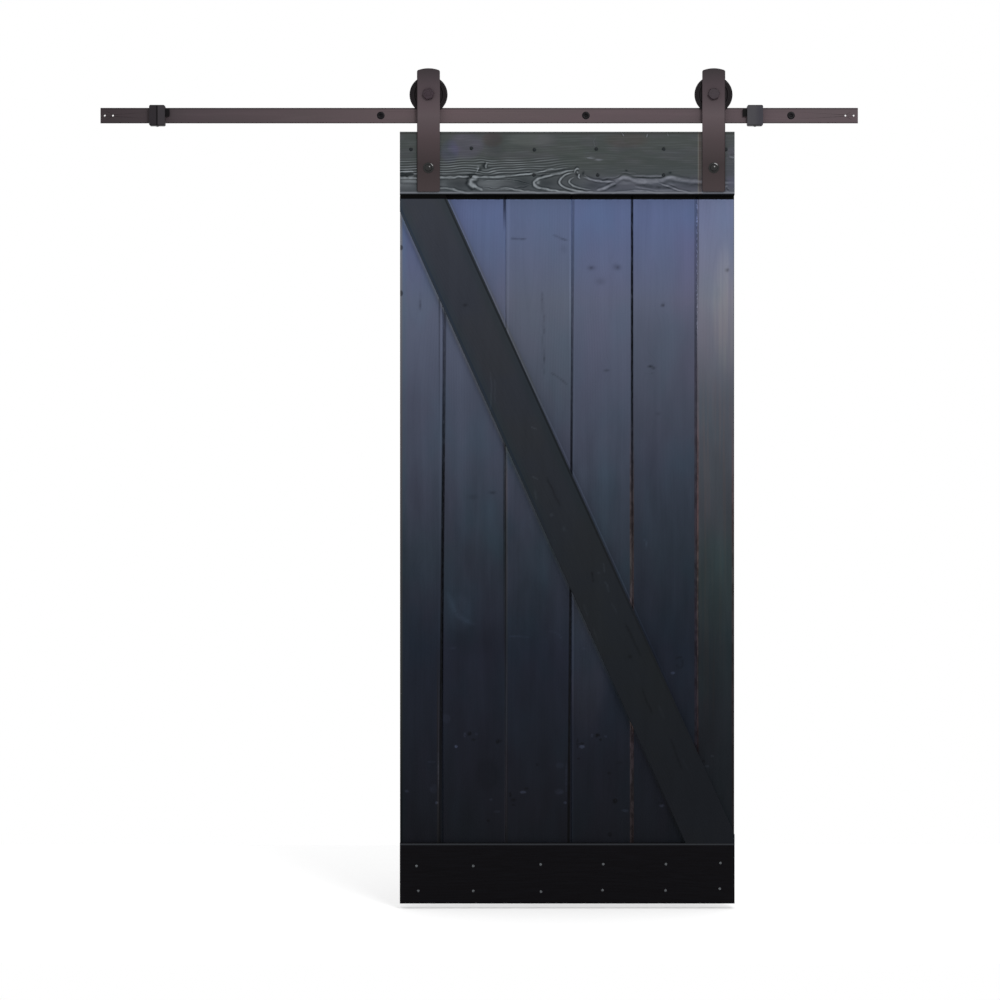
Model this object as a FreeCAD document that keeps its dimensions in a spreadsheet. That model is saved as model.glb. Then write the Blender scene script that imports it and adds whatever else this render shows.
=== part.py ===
import FreeCAD, Part
import math
import os

import Sketcher

# A ledged and braced board door that hangs from a flat wall rail by two strap hangers.
# X runs along the rail, Y into the wall and Z up. The origin is on the wall, on the axis
# of the rail screw that is nearest to the door's middle. Depths are counted from the wall
# towards the room, so a depth of 32 lies at Y = -32.

doc = FreeCAD.newDocument("HangingDoor")
sheet = doc.addObject("Spreadsheet::Sheet", "Sizes")

SIZES = {
    # the rail and how it is held
    "track_length": 2071.6,
    "track_height": 42,
    "track_thick": 6,
    "track_past_stop": 281.9,
    "track_edge_chamfer": 0.8,
    "wall_gap": 32,
    "screw_pitch": 561,
    "left_screw_inset": 157.6,
    "right_screw_inset": 183,
    "splice_hole_r": 2.5,
    "splice_inset": 11.5,
    "splice_pitch": 22.5,
    "spacer_r": 10,
    "screw_r": 5,
    "screw_head_r": 10.7,
    "screw_bite": 60,
    "screw_socket_flats": 8,
    "screw_socket_deep": 4,
    "screw_hole_clear": 0.7,
    "screw_seat_clear": 0.1,
    # the two end stops
    "stop_left_inset": 155.8,
    "stop_past_axle": 113.5,
    "stop_width": 43,
    "stop_up": 27.5,
    "stop_down": 28.5,
    "stop_front_wall": 13.5,
    "stop_back_wall": 5.5,
    "stop_lip_gap": 28,
    "stop_corner_r": 4,
    "stop_fit": 0.3,
    "bumper_thick": 12,
    "bumper_height": 20,
    "bumper_width": 6.5,
    "bumper_rail_gap": 1.2,
    "bumper_top": 17,
    "bumper_corner_r": 2,
    # the wheels and their axles
    "groove_r": 35,
    "wheel_gap": 0.3,
    "wheel_rim_r": 52,
    "wheel_back_rim_r": 41,
    "wheel_width": 22,
    "groove_width": 8,
    "bearing_r": 20,
    "bearing_inset": 5,
    "axle_r": 8.5,
    "axle_fit": 0.1,
    "axle_side_gap": 0.2,
    "axle_hex_flats": 29,
    "axle_head_high": 9,
    "axle_nut_flats": 24,
    "axle_nut_thick": 10,
    # the straps
    "strap_width": 62.5,
    "strap_thick": 6,
    "strap_clear": 5,
    "strap_above_axle": 70.7,
    "strap_lap": 164.4,
    "strap_crown_r": 85,
    "strap_corner_r": 5.5,
    "strap_edge_chamfer": 0.8,
    "strap_boss_r": 12,
    "strap_bore_gap": 0.05,
    "hanger_left_inset": 78.3,
    "hanger_right_inset": 57.3,
    # the bolts that hold the straps to the door
    "door_bolt_drop": 99.4,
    "door_bolt_r": 6,
    "door_bolt_clear": 0.3,
    "door_bolt_flats": 24,
    "door_bolt_head_high": 9,
    "door_nut_flats": 19,
    "door_nut_thick": 8,
    "counterbore_r": 14.5,
    "counterbore_deep": 11,
    # the door leaf
    "door_height": 2108.1,
    "door_left_reach": 508.5,
    "door_drop": 24.6,
    "board_1_width": 117.4,
    "board_2_width": 171.6,
    "board_3_width": 180.2,
    "board_4_width": 166.1,
    "board_5_width": 177,
    "board_6_width": 102.1,
    "board_thick": 20,
    "board_gap": 0.4,
    "board_vee": 4.3,
    "tongue_long": 8,
    "tongue_thick": 7,
    "tongue_ease": 1,
    "tongue_fit": 0.2,
    "ledge_thick": 18,
    "top_ledge_height": 173.2,
    "bottom_ledge_height": 164.6,
    "brace_top_toe": 125,
    "brace_top_heel": 44.3,
    "brace_foot_toe": 134.1,
    "brace_foot_heel": 24.2,
    "rail_edge_r": 1.5,
}

for row, (alias, number) in enumerate(SIZES.items(), start=1):
    sheet.set(f"A{row}", alias)
    sheet.set(f"B{row}", str(number))
    sheet.setAlias(f"B{row}", alias)
doc.recompute()

# Places that several pieces share, as expressions on the sheet.
RAIL_FRONT = "(Sizes.wall_gap + Sizes.track_thick)"
RAIL_MID = "(Sizes.wall_gap + Sizes.track_thick / 2)"
AXLE_Z = "(Sizes.track_height / 2 + Sizes.wheel_gap + Sizes.groove_r)"
WHEEL_FRONT = f"({RAIL_MID} + Sizes.wheel_width / 2)"
STRAP_BACK = f"({WHEEL_FRONT} + Sizes.strap_clear)"
STRAP_FRONT = f"({STRAP_BACK} + Sizes.strap_thick)"
BOARD_FRONT = f"({STRAP_BACK} - Sizes.ledge_thick)"
BOARD_BACK = f"({BOARD_FRONT} - Sizes.board_thick)"
BOARD_COUNT = 6
ACROSS_BOARDS = " + ".join(f"Sizes.board_{number}_width" for number in range(1, BOARD_COUNT + 1))
DOOR_LEFT = "(-Sizes.door_left_reach)"
DOOR_RIGHT = f"({DOOR_LEFT} + {ACROSS_BOARDS})"
DOOR_TOP = "(-Sizes.track_height / 2 - Sizes.door_drop)"
DOOR_BOTTOM = f"({DOOR_TOP} - Sizes.door_height)"
TOP_LEDGE_UNDER = f"({DOOR_TOP} - Sizes.top_ledge_height)"
BOTTOM_LEDGE_TOP = f"({DOOR_BOTTOM} + Sizes.bottom_ledge_height)"
DOOR_BOLT_Z = f"({DOOR_TOP} - Sizes.door_bolt_drop)"
HANGER_X = {
    "left": f"({DOOR_LEFT} + Sizes.hanger_left_inset)",
    "right": f"({DOOR_RIGHT} - Sizes.hanger_right_inset)",
}
STOP_X = {"right": f"({HANGER_X['right']} + Sizes.stop_past_axle)"}
TRACK_RIGHT = f"({STOP_X['right']} + Sizes.track_past_stop)"
TRACK_LEFT = f"({TRACK_RIGHT} - Sizes.track_length)"
STOP_X["left"] = f"({TRACK_LEFT} + Sizes.stop_left_inset)"
SCREW_X = [
    f"({TRACK_LEFT} + Sizes.left_screw_inset)",
    "(-Sizes.screw_pitch)",
    "0",
    f"({TRACK_RIGHT} - Sizes.right_screw_inset)",
]


def new_body(name):
    """A body whose label is the piece's name."""
    body = doc.addObject("PartDesign::Body", name)
    body.Label = name
    return body


def new_sketch(body, name, role, offset="0"):
    """A sketch on one of the body's origin planes, moved along that plane's normal."""
    sketch = body.newObject("Sketcher::SketchObject", name)
    plane = next(item for item in body.Origin.OriginFeatures if item.Role == role)
    sketch.AttachmentSupport = (plane, "")
    sketch.MapMode = "FlatFace"
    sketch.setExpression("AttachmentOffset.Base.z", offset)
    return sketch


def bind(sketch, constraint, expression):
    """Adds a constraint and binds its value to an expression."""
    index = sketch.addConstraint(constraint)
    sketch.setExpression(f"Constraints[{index}]", str(expression))


def pin_point(sketch, geometry, point, corner):
    """Holds a point of the sketch at a corner, given as two expressions from the origin."""
    start = sketch.getPoint(geometry, point)
    bind(sketch, Sketcher.Constraint("DistanceX", -1, 1, geometry, point, start.x), corner[0])
    bind(sketch, Sketcher.Constraint("DistanceY", -1, 1, geometry, point, start.y), corner[1])


def polygon(sketch, corners):
    """A closed outline with straight sides through the corners."""
    count = len(corners)
    turn = 2 * math.pi / count
    ring = [FreeCAD.Vector(math.cos(turn * k), math.sin(turn * k), 0) for k in range(count)]
    first = sketch.GeometryCount
    for k in range(count):
        sketch.addGeometry(Part.LineSegment(ring[k], ring[(k + 1) % count]))
    for k in range(count):
        after = first + (k + 1) % count
        sketch.addConstraint(Sketcher.Constraint("Coincident", first + k, 2, after, 1))
    for k, corner in enumerate(corners):
        pin_point(sketch, first + k, 1, corner)


def rectangle(sketch, low, high):
    """An upright rectangle between two opposite corners."""
    polygon(sketch, [low, (high[0], low[1]), high, (low[0], high[1])])


def circle(sketch, radius, centre=("0", "0")):
    """A circle with its radius and centre bound to the sheet."""
    index = sketch.addGeometry(Part.Circle(FreeCAD.Vector(1, 1, 0), FreeCAD.Vector(0, 0, 1), 1))
    pin_point(sketch, index, 3, centre)
    bind(sketch, Sketcher.Constraint("Radius", index, 1), radius)


def hexagon(sketch, flats):
    """A regular hexagon about the origin, by its width across the flats."""
    reach = f"{flats} / 2 / cos(30)"
    polygon(sketch, [(f"{reach} * cos({60 * k})", f"{reach} * sin({60 * k})") for k in range(6)])


def pad(body, sketch, length):
    """Pads a sketch along its normal."""
    feature = body.newObject("PartDesign::Pad", f"{sketch.Name}_pad")
    feature.Profile = sketch
    feature.setExpression("Length", length)
    sketch.Visibility = False
    return feature


def pocket(body, sketch, depth=None, reverse=False):
    """Cuts a sketch into the body against its normal, or along it, right through without a depth."""
    feature = body.newObject("PartDesign::Pocket", f"{sketch.Name}_cut")
    feature.Profile = sketch
    feature.Reversed = reverse
    if depth is None:
        feature.Type = "ThroughAll"
    else:
        feature.setExpression("Length", depth)
    return feature


def revolve(body, sketch):
    """Turns a sketch a full circle about its own vertical axis."""
    feature = body.newObject("PartDesign::Revolution", f"{sketch.Name}_turn")
    feature.Profile = sketch
    feature.ReferenceAxis = (sketch, ["V_Axis"])
    feature.Angle = 360
    return feature


def runs_along(edge, axis):
    """Whether a straight edge is parallel to an axis."""
    if not isinstance(edge.Curve, Part.Line):
        return False
    return abs(abs(edge.Curve.Direction.dot(axis)) - 1) < 1e-6


def dress(body, kind, wanted, size_name, size):
    """Fillets or chamfers the edges of the body's tip that a test picks out."""
    doc.recompute()
    tip = body.Tip
    edges = [f"Edge{k}" for k, edge in enumerate(tip.Shape.Edges, start=1) if wanted(edge)]
    feature = body.newObject(f"PartDesign::{kind}", f"{body.Name}_{kind.lower()}")
    feature.Base = (tip, edges)
    feature.setExpression(size_name, size)
    return feature


def place(obj, x="0", depth="0", z="0"):
    """Moves a piece to X, a depth from the wall, and Z."""
    obj.setExpression("Placement.Base.x", x)
    obj.setExpression("Placement.Base.y", f"-({depth})")
    obj.setExpression("Placement.Base.z", z)


X_AXIS = FreeCAD.Vector(1, 0, 0)
Y_AXIS = FreeCAD.Vector(0, 1, 0)


def make_track():
    """Flat bar on edge with a spacer behind each countersunk screw hole, and two splice holes an end."""
    body = new_body("track")
    half = "(Sizes.track_height / 2)"
    outline = new_sketch(body, "track_outline", "XZ_Plane", "Sizes.wall_gap")
    rectangle(outline, (TRACK_LEFT, f"-{half}"), (TRACK_RIGHT, half))
    pad(body, outline, "Sizes.track_thick")
    dress(body, "Chamfer", lambda edge: runs_along(edge, X_AXIS), "Size", "Sizes.track_edge_chamfer")

    splice = new_sketch(body, "splice_holes", "XZ_Plane", RAIL_FRONT)
    for end, inward in ((TRACK_LEFT, 1), (TRACK_RIGHT, -1)):
        for steps in (0, 1):
            reach = f"{end} + {inward} * (Sizes.splice_inset + {steps} * Sizes.splice_pitch)"
            circle(splice, "Sizes.splice_hole_r", (reach, "0"))
    pocket(body, splice)

    spacers = new_sketch(body, "spacers", "XZ_Plane")
    for x in SCREW_X:
        circle(spacers, "Sizes.spacer_r", (x, "0"))
    pad(body, spacers, "Sizes.wall_gap")

    seats = new_sketch(body, "screw_seats", "XZ_Plane", RAIL_FRONT)
    for x in SCREW_X:
        circle(seats, "Sizes.screw_r + Sizes.screw_hole_clear", (x, "0"))
    doc.recompute()
    hole = body.newObject("PartDesign::Hole", "countersunk_holes")
    hole.Profile = seats
    hole.ThreadType = "None"
    hole.DepthType = "ThroughAll"
    hole.HoleCutType = "Countersink"
    hole.HoleCutCustomValues = True
    hole.HoleCutCountersinkAngle = 90
    hole.setExpression("Diameter", "2 * (Sizes.screw_r + Sizes.screw_hole_clear)")
    hole.setExpression("HoleCutDiameter", "2 * (Sizes.screw_head_r + Sizes.screw_seat_clear)")


def make_lag_screw(number, x):
    """Countersunk screw that goes through rail and spacer into the wall."""
    screw = new_body(f"lag_screw_{number}")
    profile = new_sketch(screw, f"screw_profile_{number}", "XY_Plane")
    neck = f"(Sizes.screw_head_r - Sizes.screw_r - {RAIL_FRONT})"
    polygon(profile, [
        ("0", f"-{RAIL_FRONT}"),
        ("Sizes.screw_head_r", f"-{RAIL_FRONT}"),
        ("Sizes.screw_r", neck),
        ("Sizes.screw_r", "Sizes.screw_bite"),
        ("0", "Sizes.screw_bite"),
    ])
    revolve(screw, profile)
    socket = new_sketch(screw, f"screw_socket_{number}", "XZ_Plane", RAIL_FRONT)
    hexagon(socket, "Sizes.screw_socket_flats")
    pocket(screw, socket, "Sizes.screw_socket_deep")
    place(screw, x)


def make_stop(side, centre, inward):
    """C-shaped block that slides on the rail, and its rubber bumper."""
    slot_back = "(-Sizes.wall_gap + Sizes.stop_fit)"
    slot_front = f"(-{RAIL_FRONT} - Sizes.stop_fit)"
    back = f"({slot_back} + Sizes.stop_back_wall)"
    front = f"({slot_front} - Sizes.stop_front_wall)"
    slot_high = "(Sizes.track_height / 2 + Sizes.stop_fit)"
    lip = "(Sizes.stop_lip_gap / 2)"

    stop = new_body(f"stop_{side}")
    section = new_sketch(stop, f"stop_section_{side}", "YZ_Plane", "-Sizes.stop_width / 2")
    polygon(section, [
        (front, "Sizes.stop_up"),
        (front, "-Sizes.stop_down"),
        (back, "-Sizes.stop_down"),
        (back, f"-{lip}"),
        (slot_back, f"-{lip}"),
        (slot_back, f"-{slot_high}"),
        (slot_front, f"-{slot_high}"),
        (slot_front, slot_high),
        (slot_back, slot_high),
        (slot_back, lip),
        (back, lip),
        (back, "Sizes.stop_up"),
    ])
    pad(stop, section, "Sizes.stop_width")
    half_width = SIZES["stop_width"] / 2

    def outer_corner(edge):
        place_on_edge = edge.Vertexes[0].Point
        at_side = abs(abs(place_on_edge.x) - half_width) < 1e-6
        at_top = abs(place_on_edge.z - SIZES["stop_up"]) < 1e-6
        at_foot = abs(place_on_edge.z + SIZES["stop_down"]) < 1e-6
        return runs_along(edge, Y_AXIS) and at_side and (at_top or at_foot)

    dress(stop, "Fillet", outer_corner, "Radius", "Sizes.stop_corner_r")
    place(stop, centre)

    bumper = new_body(f"bumper_{side}")
    gap_front = f"({RAIL_FRONT} + Sizes.stop_fit + Sizes.bumper_rail_gap)"
    outline = new_sketch(bumper, f"bumper_outline_{side}", "XZ_Plane", gap_front)
    near = f"{inward} * Sizes.stop_width / 2"
    far = f"{inward} * (Sizes.stop_width / 2 + Sizes.bumper_thick)"
    foot = "Sizes.bumper_top - Sizes.bumper_height"
    rectangle(outline, (near, foot), (far, "Sizes.bumper_top"))
    pad(bumper, outline, "Sizes.bumper_width")
    tip_x = inward * (half_width + SIZES["bumper_thick"])

    def tip_corner(edge):
        return runs_along(edge, Y_AXIS) and abs(edge.Vertexes[0].Point.x - tip_x) < 1e-6

    dress(bumper, "Fillet", tip_corner, "Radius", "Sizes.bumper_corner_r")
    place(bumper, centre)


def make_wheel(side):
    """Grooved wheel, deep in front of the rail and shallow behind it, with its bearing sunk in the back."""
    half = "(Sizes.wheel_width / 2)"
    groove = "(Sizes.groove_width / 2)"
    bore = "(Sizes.axle_r + Sizes.axle_fit)"
    wheel = new_body(f"wheel_{side}")
    profile = new_sketch(wheel, f"wheel_profile_{side}", "XY_Plane")
    polygon(profile, [
        (bore, f"-{half}"),
        ("Sizes.wheel_rim_r", f"-{half}"),
        ("Sizes.wheel_rim_r", f"-{groove}"),
        ("Sizes.groove_r", f"-{groove}"),
        ("Sizes.groove_r", groove),
        ("Sizes.wheel_back_rim_r", groove),
        ("Sizes.wheel_back_rim_r", half),
        ("Sizes.bearing_r", half),
        ("Sizes.bearing_r", f"{half} - Sizes.bearing_inset"),
        (bore, f"{half} - Sizes.bearing_inset"),
    ])
    revolve(wheel, profile)
    place(wheel, HANGER_X[side], RAIL_MID, AXLE_Z)


def make_axle(side):
    """Axle bolt through strap and bearing, with its hexagonal head in front and its nut behind."""
    nut_front = f"({RAIL_MID} - Sizes.wheel_width / 2 + Sizes.bearing_inset - Sizes.axle_side_gap)"
    nut_back = f"({nut_front} - Sizes.axle_nut_thick)"
    bolt = new_body(f"axle_bolt_{side}")
    shank = new_sketch(bolt, f"axle_round_{side}", "XZ_Plane", nut_back)
    circle(shank, "Sizes.axle_r")
    pad(bolt, shank, f"{STRAP_FRONT} - {nut_back}")
    head = new_sketch(bolt, f"axle_head_{side}", "XZ_Plane", STRAP_FRONT)
    hexagon(head, "Sizes.axle_hex_flats")
    pad(bolt, head, "Sizes.axle_head_high")
    nut = new_sketch(bolt, f"axle_nut_{side}", "XZ_Plane", nut_back)
    hexagon(nut, "Sizes.axle_nut_flats")
    pad(bolt, nut, "Sizes.axle_nut_thick")
    place(bolt, HANGER_X[side], "0", AXLE_Z)


def make_strap(side):
    """Flat bar with a shallow arched top, a boss behind the axle's hole, and a hole for the door's bolt."""
    strap = new_body(f"strap_{side}")
    half = "(Sizes.strap_width / 2)"
    top = f"({AXLE_Z} + Sizes.strap_above_axle)"
    foot = f"({DOOR_TOP} - Sizes.strap_lap)"
    rise = f"(Sizes.strap_crown_r - sqrt(Sizes.strap_crown_r ^ 2 - {half} ^ 2))"
    shoulder = f"({top} - {rise})"

    crown_r = SIZES["strap_crown_r"]
    half_now = SIZES["strap_width"] / 2
    drop = math.sqrt(crown_r ** 2 - half_now ** 2)
    swing = math.asin(half_now / crown_r)
    outline = new_sketch(strap, f"strap_outline_{side}", "XZ_Plane", STRAP_BACK)
    whole = Part.Circle(FreeCAD.Vector(0, -drop, 0), FreeCAD.Vector(0, 0, 1), crown_r)
    up = math.pi / 2
    crown = outline.addGeometry(Part.ArcOfCircle(whole, up - swing, up + swing))
    right_now = FreeCAD.Vector(half_now, 0, 0)
    left_now = FreeCAD.Vector(-half_now, 0, 0)
    down_now = FreeCAD.Vector(0, -3 * crown_r, 0)
    sides = [
        Part.LineSegment(left_now, left_now + down_now),
        Part.LineSegment(left_now + down_now, right_now + down_now),
        Part.LineSegment(right_now + down_now, right_now),
    ]
    left_side, end_side, right_side = outline.addGeometry(sides)
    for first, last in ((crown, left_side), (left_side, end_side), (end_side, right_side)):
        outline.addConstraint(Sketcher.Constraint("Coincident", first, 2, last, 1))
    outline.addConstraint(Sketcher.Constraint("Coincident", right_side, 2, crown, 1))
    bind(outline, Sketcher.Constraint("Radius", crown, crown_r), "Sizes.strap_crown_r")
    pin_point(outline, crown, 1, (half, shoulder))
    pin_point(outline, crown, 2, (f"-{half}", shoulder))
    pin_point(outline, left_side, 2, (f"-{half}", foot))
    pin_point(outline, end_side, 2, (half, foot))
    circle(outline, "Sizes.axle_r + Sizes.strap_bore_gap", ("0", AXLE_Z))
    circle(outline, "Sizes.door_bolt_r + Sizes.door_bolt_clear", ("0", DOOR_BOLT_Z))
    pad(strap, outline, "Sizes.strap_thick")
    dress(strap, "Fillet", lambda edge: runs_along(edge, Y_AXIS), "Radius", "Sizes.strap_corner_r")
    doc.recompute()
    front_y = strap.Tip.Shape.BoundBox.YMin
    front = min(strap.Tip.Shape.Faces, key=lambda face: abs(face.CenterOfMass.y - front_y))

    def on_front_outline(edge):
        return any(edge.isSame(outer) for outer in front.OuterWire.Edges)

    dress(strap, "Chamfer", on_front_outline, "Size", "Sizes.strap_edge_chamfer")
    boss_end = f"({WHEEL_FRONT} + Sizes.axle_side_gap)"
    boss = new_sketch(strap, f"strap_boss_{side}", "XZ_Plane", boss_end)
    circle(boss, "Sizes.strap_boss_r", ("0", AXLE_Z))
    circle(boss, "Sizes.axle_r + Sizes.strap_bore_gap", ("0", AXLE_Z))
    pad(strap, boss, f"{STRAP_BACK} - {boss_end}")
    place(strap, HANGER_X[side])


def make_door_bolt(side):
    """Bolt through strap, ledge and board, its nut sunk in the board's back."""
    seat = f"({BOARD_BACK} + Sizes.counterbore_deep)"
    nut_back = f"({seat} - Sizes.door_nut_thick)"
    bolt = new_body(f"door_bolt_{side}")
    shank = new_sketch(bolt, f"bolt_shank_{side}", "XZ_Plane", nut_back)
    circle(shank, "Sizes.door_bolt_r")
    pad(bolt, shank, f"{STRAP_FRONT} - {nut_back}")
    head = new_sketch(bolt, f"bolt_head_{side}", "XZ_Plane", STRAP_FRONT)
    hexagon(head, "Sizes.door_bolt_flats")
    pad(bolt, head, "Sizes.door_bolt_head_high")
    nut = new_sketch(bolt, f"bolt_nut_{side}", "XZ_Plane", nut_back)
    hexagon(nut, "Sizes.door_nut_flats")
    pad(bolt, nut, "Sizes.door_nut_thick")
    place(bolt, HANGER_X[side], "0", DOOR_BOLT_Z)


def bolt_passage(body, name, x):
    """A clear hole for the strap's bolt."""
    passage = new_sketch(body, name, "XZ_Plane", STRAP_BACK)
    circle(passage, "Sizes.door_bolt_r + Sizes.door_bolt_clear", (x, DOOR_BOLT_Z))
    pocket(body, passage)


def make_board(number):
    """Vee-jointed board: a groove in its left edge and a tongue on its right, plain at the door's sides."""
    before = "".join(f" + Sizes.board_{k}_width" for k in range(1, number))
    left = f"({DOOR_LEFT}{before})"
    last = number == BOARD_COUNT
    right = f"({left} + Sizes.board_{number}_width{'' if last else ' - Sizes.board_gap'})"
    front = f"(-{BOARD_FRONT})"
    back = f"(-{BOARD_BACK})"
    middle = f"(({front} + {back}) / 2)"
    vee = "Sizes.board_vee"
    half_tongue = "(Sizes.tongue_thick / 2)"
    half_slot = "(Sizes.tongue_thick / 2 + Sizes.tongue_fit)"
    tip = f"({right} + Sizes.tongue_long)"
    slot_end = f"({left} + Sizes.tongue_long + Sizes.tongue_fit - Sizes.board_gap)"

    corners = [(left, front)] if number == 1 else [(left, f"{front} + {vee}"), (f"{left} + {vee}", front)]
    if last:
        corners += [(right, front), (right, back)]
    else:
        corners += [
            (f"{right} - {vee}", front),
            (right, f"{front} + {vee}"),
            (right, f"{middle} - {half_tongue}"),
            (f"{tip} - Sizes.tongue_ease", f"{middle} - {half_tongue}"),
            (tip, f"{middle} - {half_tongue} + Sizes.tongue_ease"),
            (tip, f"{middle} + {half_tongue} - Sizes.tongue_ease"),
            (f"{tip} - Sizes.tongue_ease", f"{middle} + {half_tongue}"),
            (right, f"{middle} + {half_tongue}"),
            (right, back),
        ]
    corners += [(left, back)]
    if number > 1:
        corners += [
            (left, f"{middle} + {half_slot}"),
            (slot_end, f"{middle} + {half_slot}"),
            (slot_end, f"{middle} - {half_slot}"),
            (left, f"{middle} - {half_slot}"),
        ]

    board = new_body(f"board_{number}")
    section = new_sketch(board, f"board_section_{number}", "XY_Plane", DOOR_BOTTOM)
    polygon(section, corners)
    pad(board, section, "Sizes.door_height")
    side = {1: "left", BOARD_COUNT: "right"}.get(number)
    if side:
        bolt_passage(board, f"board_passage_{number}", HANGER_X[side])
        sink = new_sketch(board, f"board_sink_{number}", "XZ_Plane", BOARD_BACK)
        circle(sink, "Sizes.counterbore_r", (HANGER_X[side], DOOR_BOLT_Z))
        pocket(board, sink, "Sizes.counterbore_deep", reverse=True)


def ease_front_edges(body):
    """Rounds the arrises of a front rail."""
    front_y = body.Tip.Shape.BoundBox.YMin

    def on_front(edge):
        return all(abs(vertex.Point.y - front_y) < 1e-6 for vertex in edge.Vertexes) and isinstance(
            edge.Curve, Part.Line)

    dress(body, "Fillet", on_front, "Radius", "Sizes.rail_edge_r")


def make_front_rail(name, corners):
    """A flat rail on the face of the boards, with eased front edges."""
    rail = new_body(name)
    outline = new_sketch(rail, f"{name}_outline", "XZ_Plane", BOARD_FRONT)
    polygon(outline, corners)
    pad(rail, outline, "Sizes.ledge_thick")
    doc.recompute()
    ease_front_edges(rail)
    return rail


def make_face_frame():
    """Top and bottom ledges, and the brace that fills the corners between them."""
    top = make_front_rail("top_ledge", [
        (DOOR_LEFT, TOP_LEDGE_UNDER),
        (DOOR_RIGHT, TOP_LEDGE_UNDER),
        (DOOR_RIGHT, DOOR_TOP),
        (DOOR_LEFT, DOOR_TOP),
    ])
    for side, x in HANGER_X.items():
        bolt_passage(top, f"ledge_passage_{side}", x)
    make_front_rail("bottom_ledge", [
        (DOOR_LEFT, DOOR_BOTTOM),
        (DOOR_RIGHT, DOOR_BOTTOM),
        (DOOR_RIGHT, BOTTOM_LEDGE_TOP),
        (DOOR_LEFT, BOTTOM_LEDGE_TOP),
    ])
    make_front_rail("brace", [
        (DOOR_LEFT, TOP_LEDGE_UNDER),
        (DOOR_LEFT, f"{TOP_LEDGE_UNDER} - Sizes.brace_top_heel"),
        (f"{DOOR_RIGHT} - Sizes.brace_foot_toe", BOTTOM_LEDGE_TOP),
        (DOOR_RIGHT, BOTTOM_LEDGE_TOP),
        (DOOR_RIGHT, f"{BOTTOM_LEDGE_TOP} + Sizes.brace_foot_heel"),
        (f"{DOOR_LEFT} + Sizes.brace_top_toe", TOP_LEDGE_UNDER),
    ])


make_track()
for screw_number, screw_x in enumerate(SCREW_X, start=1):
    make_lag_screw(screw_number, screw_x)
make_stop("left", STOP_X["left"], 1)
make_stop("right", STOP_X["right"], -1)
for hanger_side in HANGER_X:
    make_strap(hanger_side)
    make_wheel(hanger_side)
    make_axle(hanger_side)
    make_door_bolt(hanger_side)
for board_number in range(1, BOARD_COUNT + 1):
    make_board(board_number)
make_face_frame()
doc.recompute()

for item in doc.Objects:
    if "Invalid" in item.State or "Error" in item.State:
        raise RuntimeError(f"{item.Name} did not compute: {item.State}")

pieces = [item for item in doc.Objects if item.TypeId == "PartDesign::Body"]
for piece in pieces:
    if piece.Shape.isNull() or not piece.Shape.isValid() or len(piece.Shape.Solids) != 1:
        raise RuntimeError(f"{piece.Label} is not one valid solid")

os.makedirs("parts", exist_ok=True)
for piece in pieces:
    piece.Shape.exportStep(f"parts/{piece.Label}.step")
    box = piece.Shape.BoundBox
    print(f"{piece.Label}: {box.XLength:.1f} x {box.YLength:.1f} x {box.ZLength:.1f} mm")
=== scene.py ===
import math

import bpy
import numpy as np
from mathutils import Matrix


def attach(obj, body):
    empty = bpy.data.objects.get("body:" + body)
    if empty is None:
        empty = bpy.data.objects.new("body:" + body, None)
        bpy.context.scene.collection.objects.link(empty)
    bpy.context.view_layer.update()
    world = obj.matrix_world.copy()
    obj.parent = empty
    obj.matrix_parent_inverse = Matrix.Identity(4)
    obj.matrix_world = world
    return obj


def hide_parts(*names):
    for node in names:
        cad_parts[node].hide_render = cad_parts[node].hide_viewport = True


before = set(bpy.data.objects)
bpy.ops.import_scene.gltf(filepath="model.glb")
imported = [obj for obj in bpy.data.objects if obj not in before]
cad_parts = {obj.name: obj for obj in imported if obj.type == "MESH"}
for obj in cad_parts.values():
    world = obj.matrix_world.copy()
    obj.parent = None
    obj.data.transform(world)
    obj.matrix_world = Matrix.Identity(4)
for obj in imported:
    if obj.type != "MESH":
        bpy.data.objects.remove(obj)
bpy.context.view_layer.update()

# Looks for the hanging board door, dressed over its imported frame. Metres, with X along the rail,
# Y into the wall and Z up. The numbers that give a piece its shape are in millimetres.

MM = 0.001
LEAF_LEFT, LEAF_RIGHT = -508.5, 405.9
LEAF_TOP, LEAF_FOOT = -45.6, -2153.7
LEDGE_UNDER, LEDGE_OVER = -218.8, -1989.1
FACE, BACK, LEDGE_FACE = -33.0, -13.0, -51.0
BRACE_HEEL, BRACE_TOE, BRACE_FOOT_TOE = 44.3, 125.0, 134.1
BOARD_WIDTHS = (117.4, 171.6, 180.2, 166.1, 177.0, 102.1)
HANGERS = {"left": -430.2, "right": 348.6}
STOPS = {"left": -1171.8, "right": 462.1}
STRAP_HALF = 31.25
STRAP_FOOT, STRAP_LENGTH = -210.7, 337.5
RAIL_LEFT, RAIL_RIGHT, RAIL_MIDDLE = -1327.6, 744.0, -35.0
SCREWS = (-1170.0, -561.0, 0.0, 561.0)
AXLE_Z, BOLT_Z = 56.3, -145.0
VEE = 2.2
ROOM_GLOSS = 0.066
THREAD_PITCH = 4.5
PHOTO_WIDTH, CAMERA_FAR = 2.7312, 9.0
FLOOR_Z = -2.168


def shade(code):
    """Linear red, green and blue of a colour written as six hex digits."""
    parts = np.array([int(code[k:k + 2], 16) for k in (0, 2, 4)]) / 255
    linear = np.where(parts < 0.04045, parts / 12.92, ((parts + 0.055) / 1.055) ** 2.4)
    return tuple(float(v) for v in linear) + (1.0,)


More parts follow.
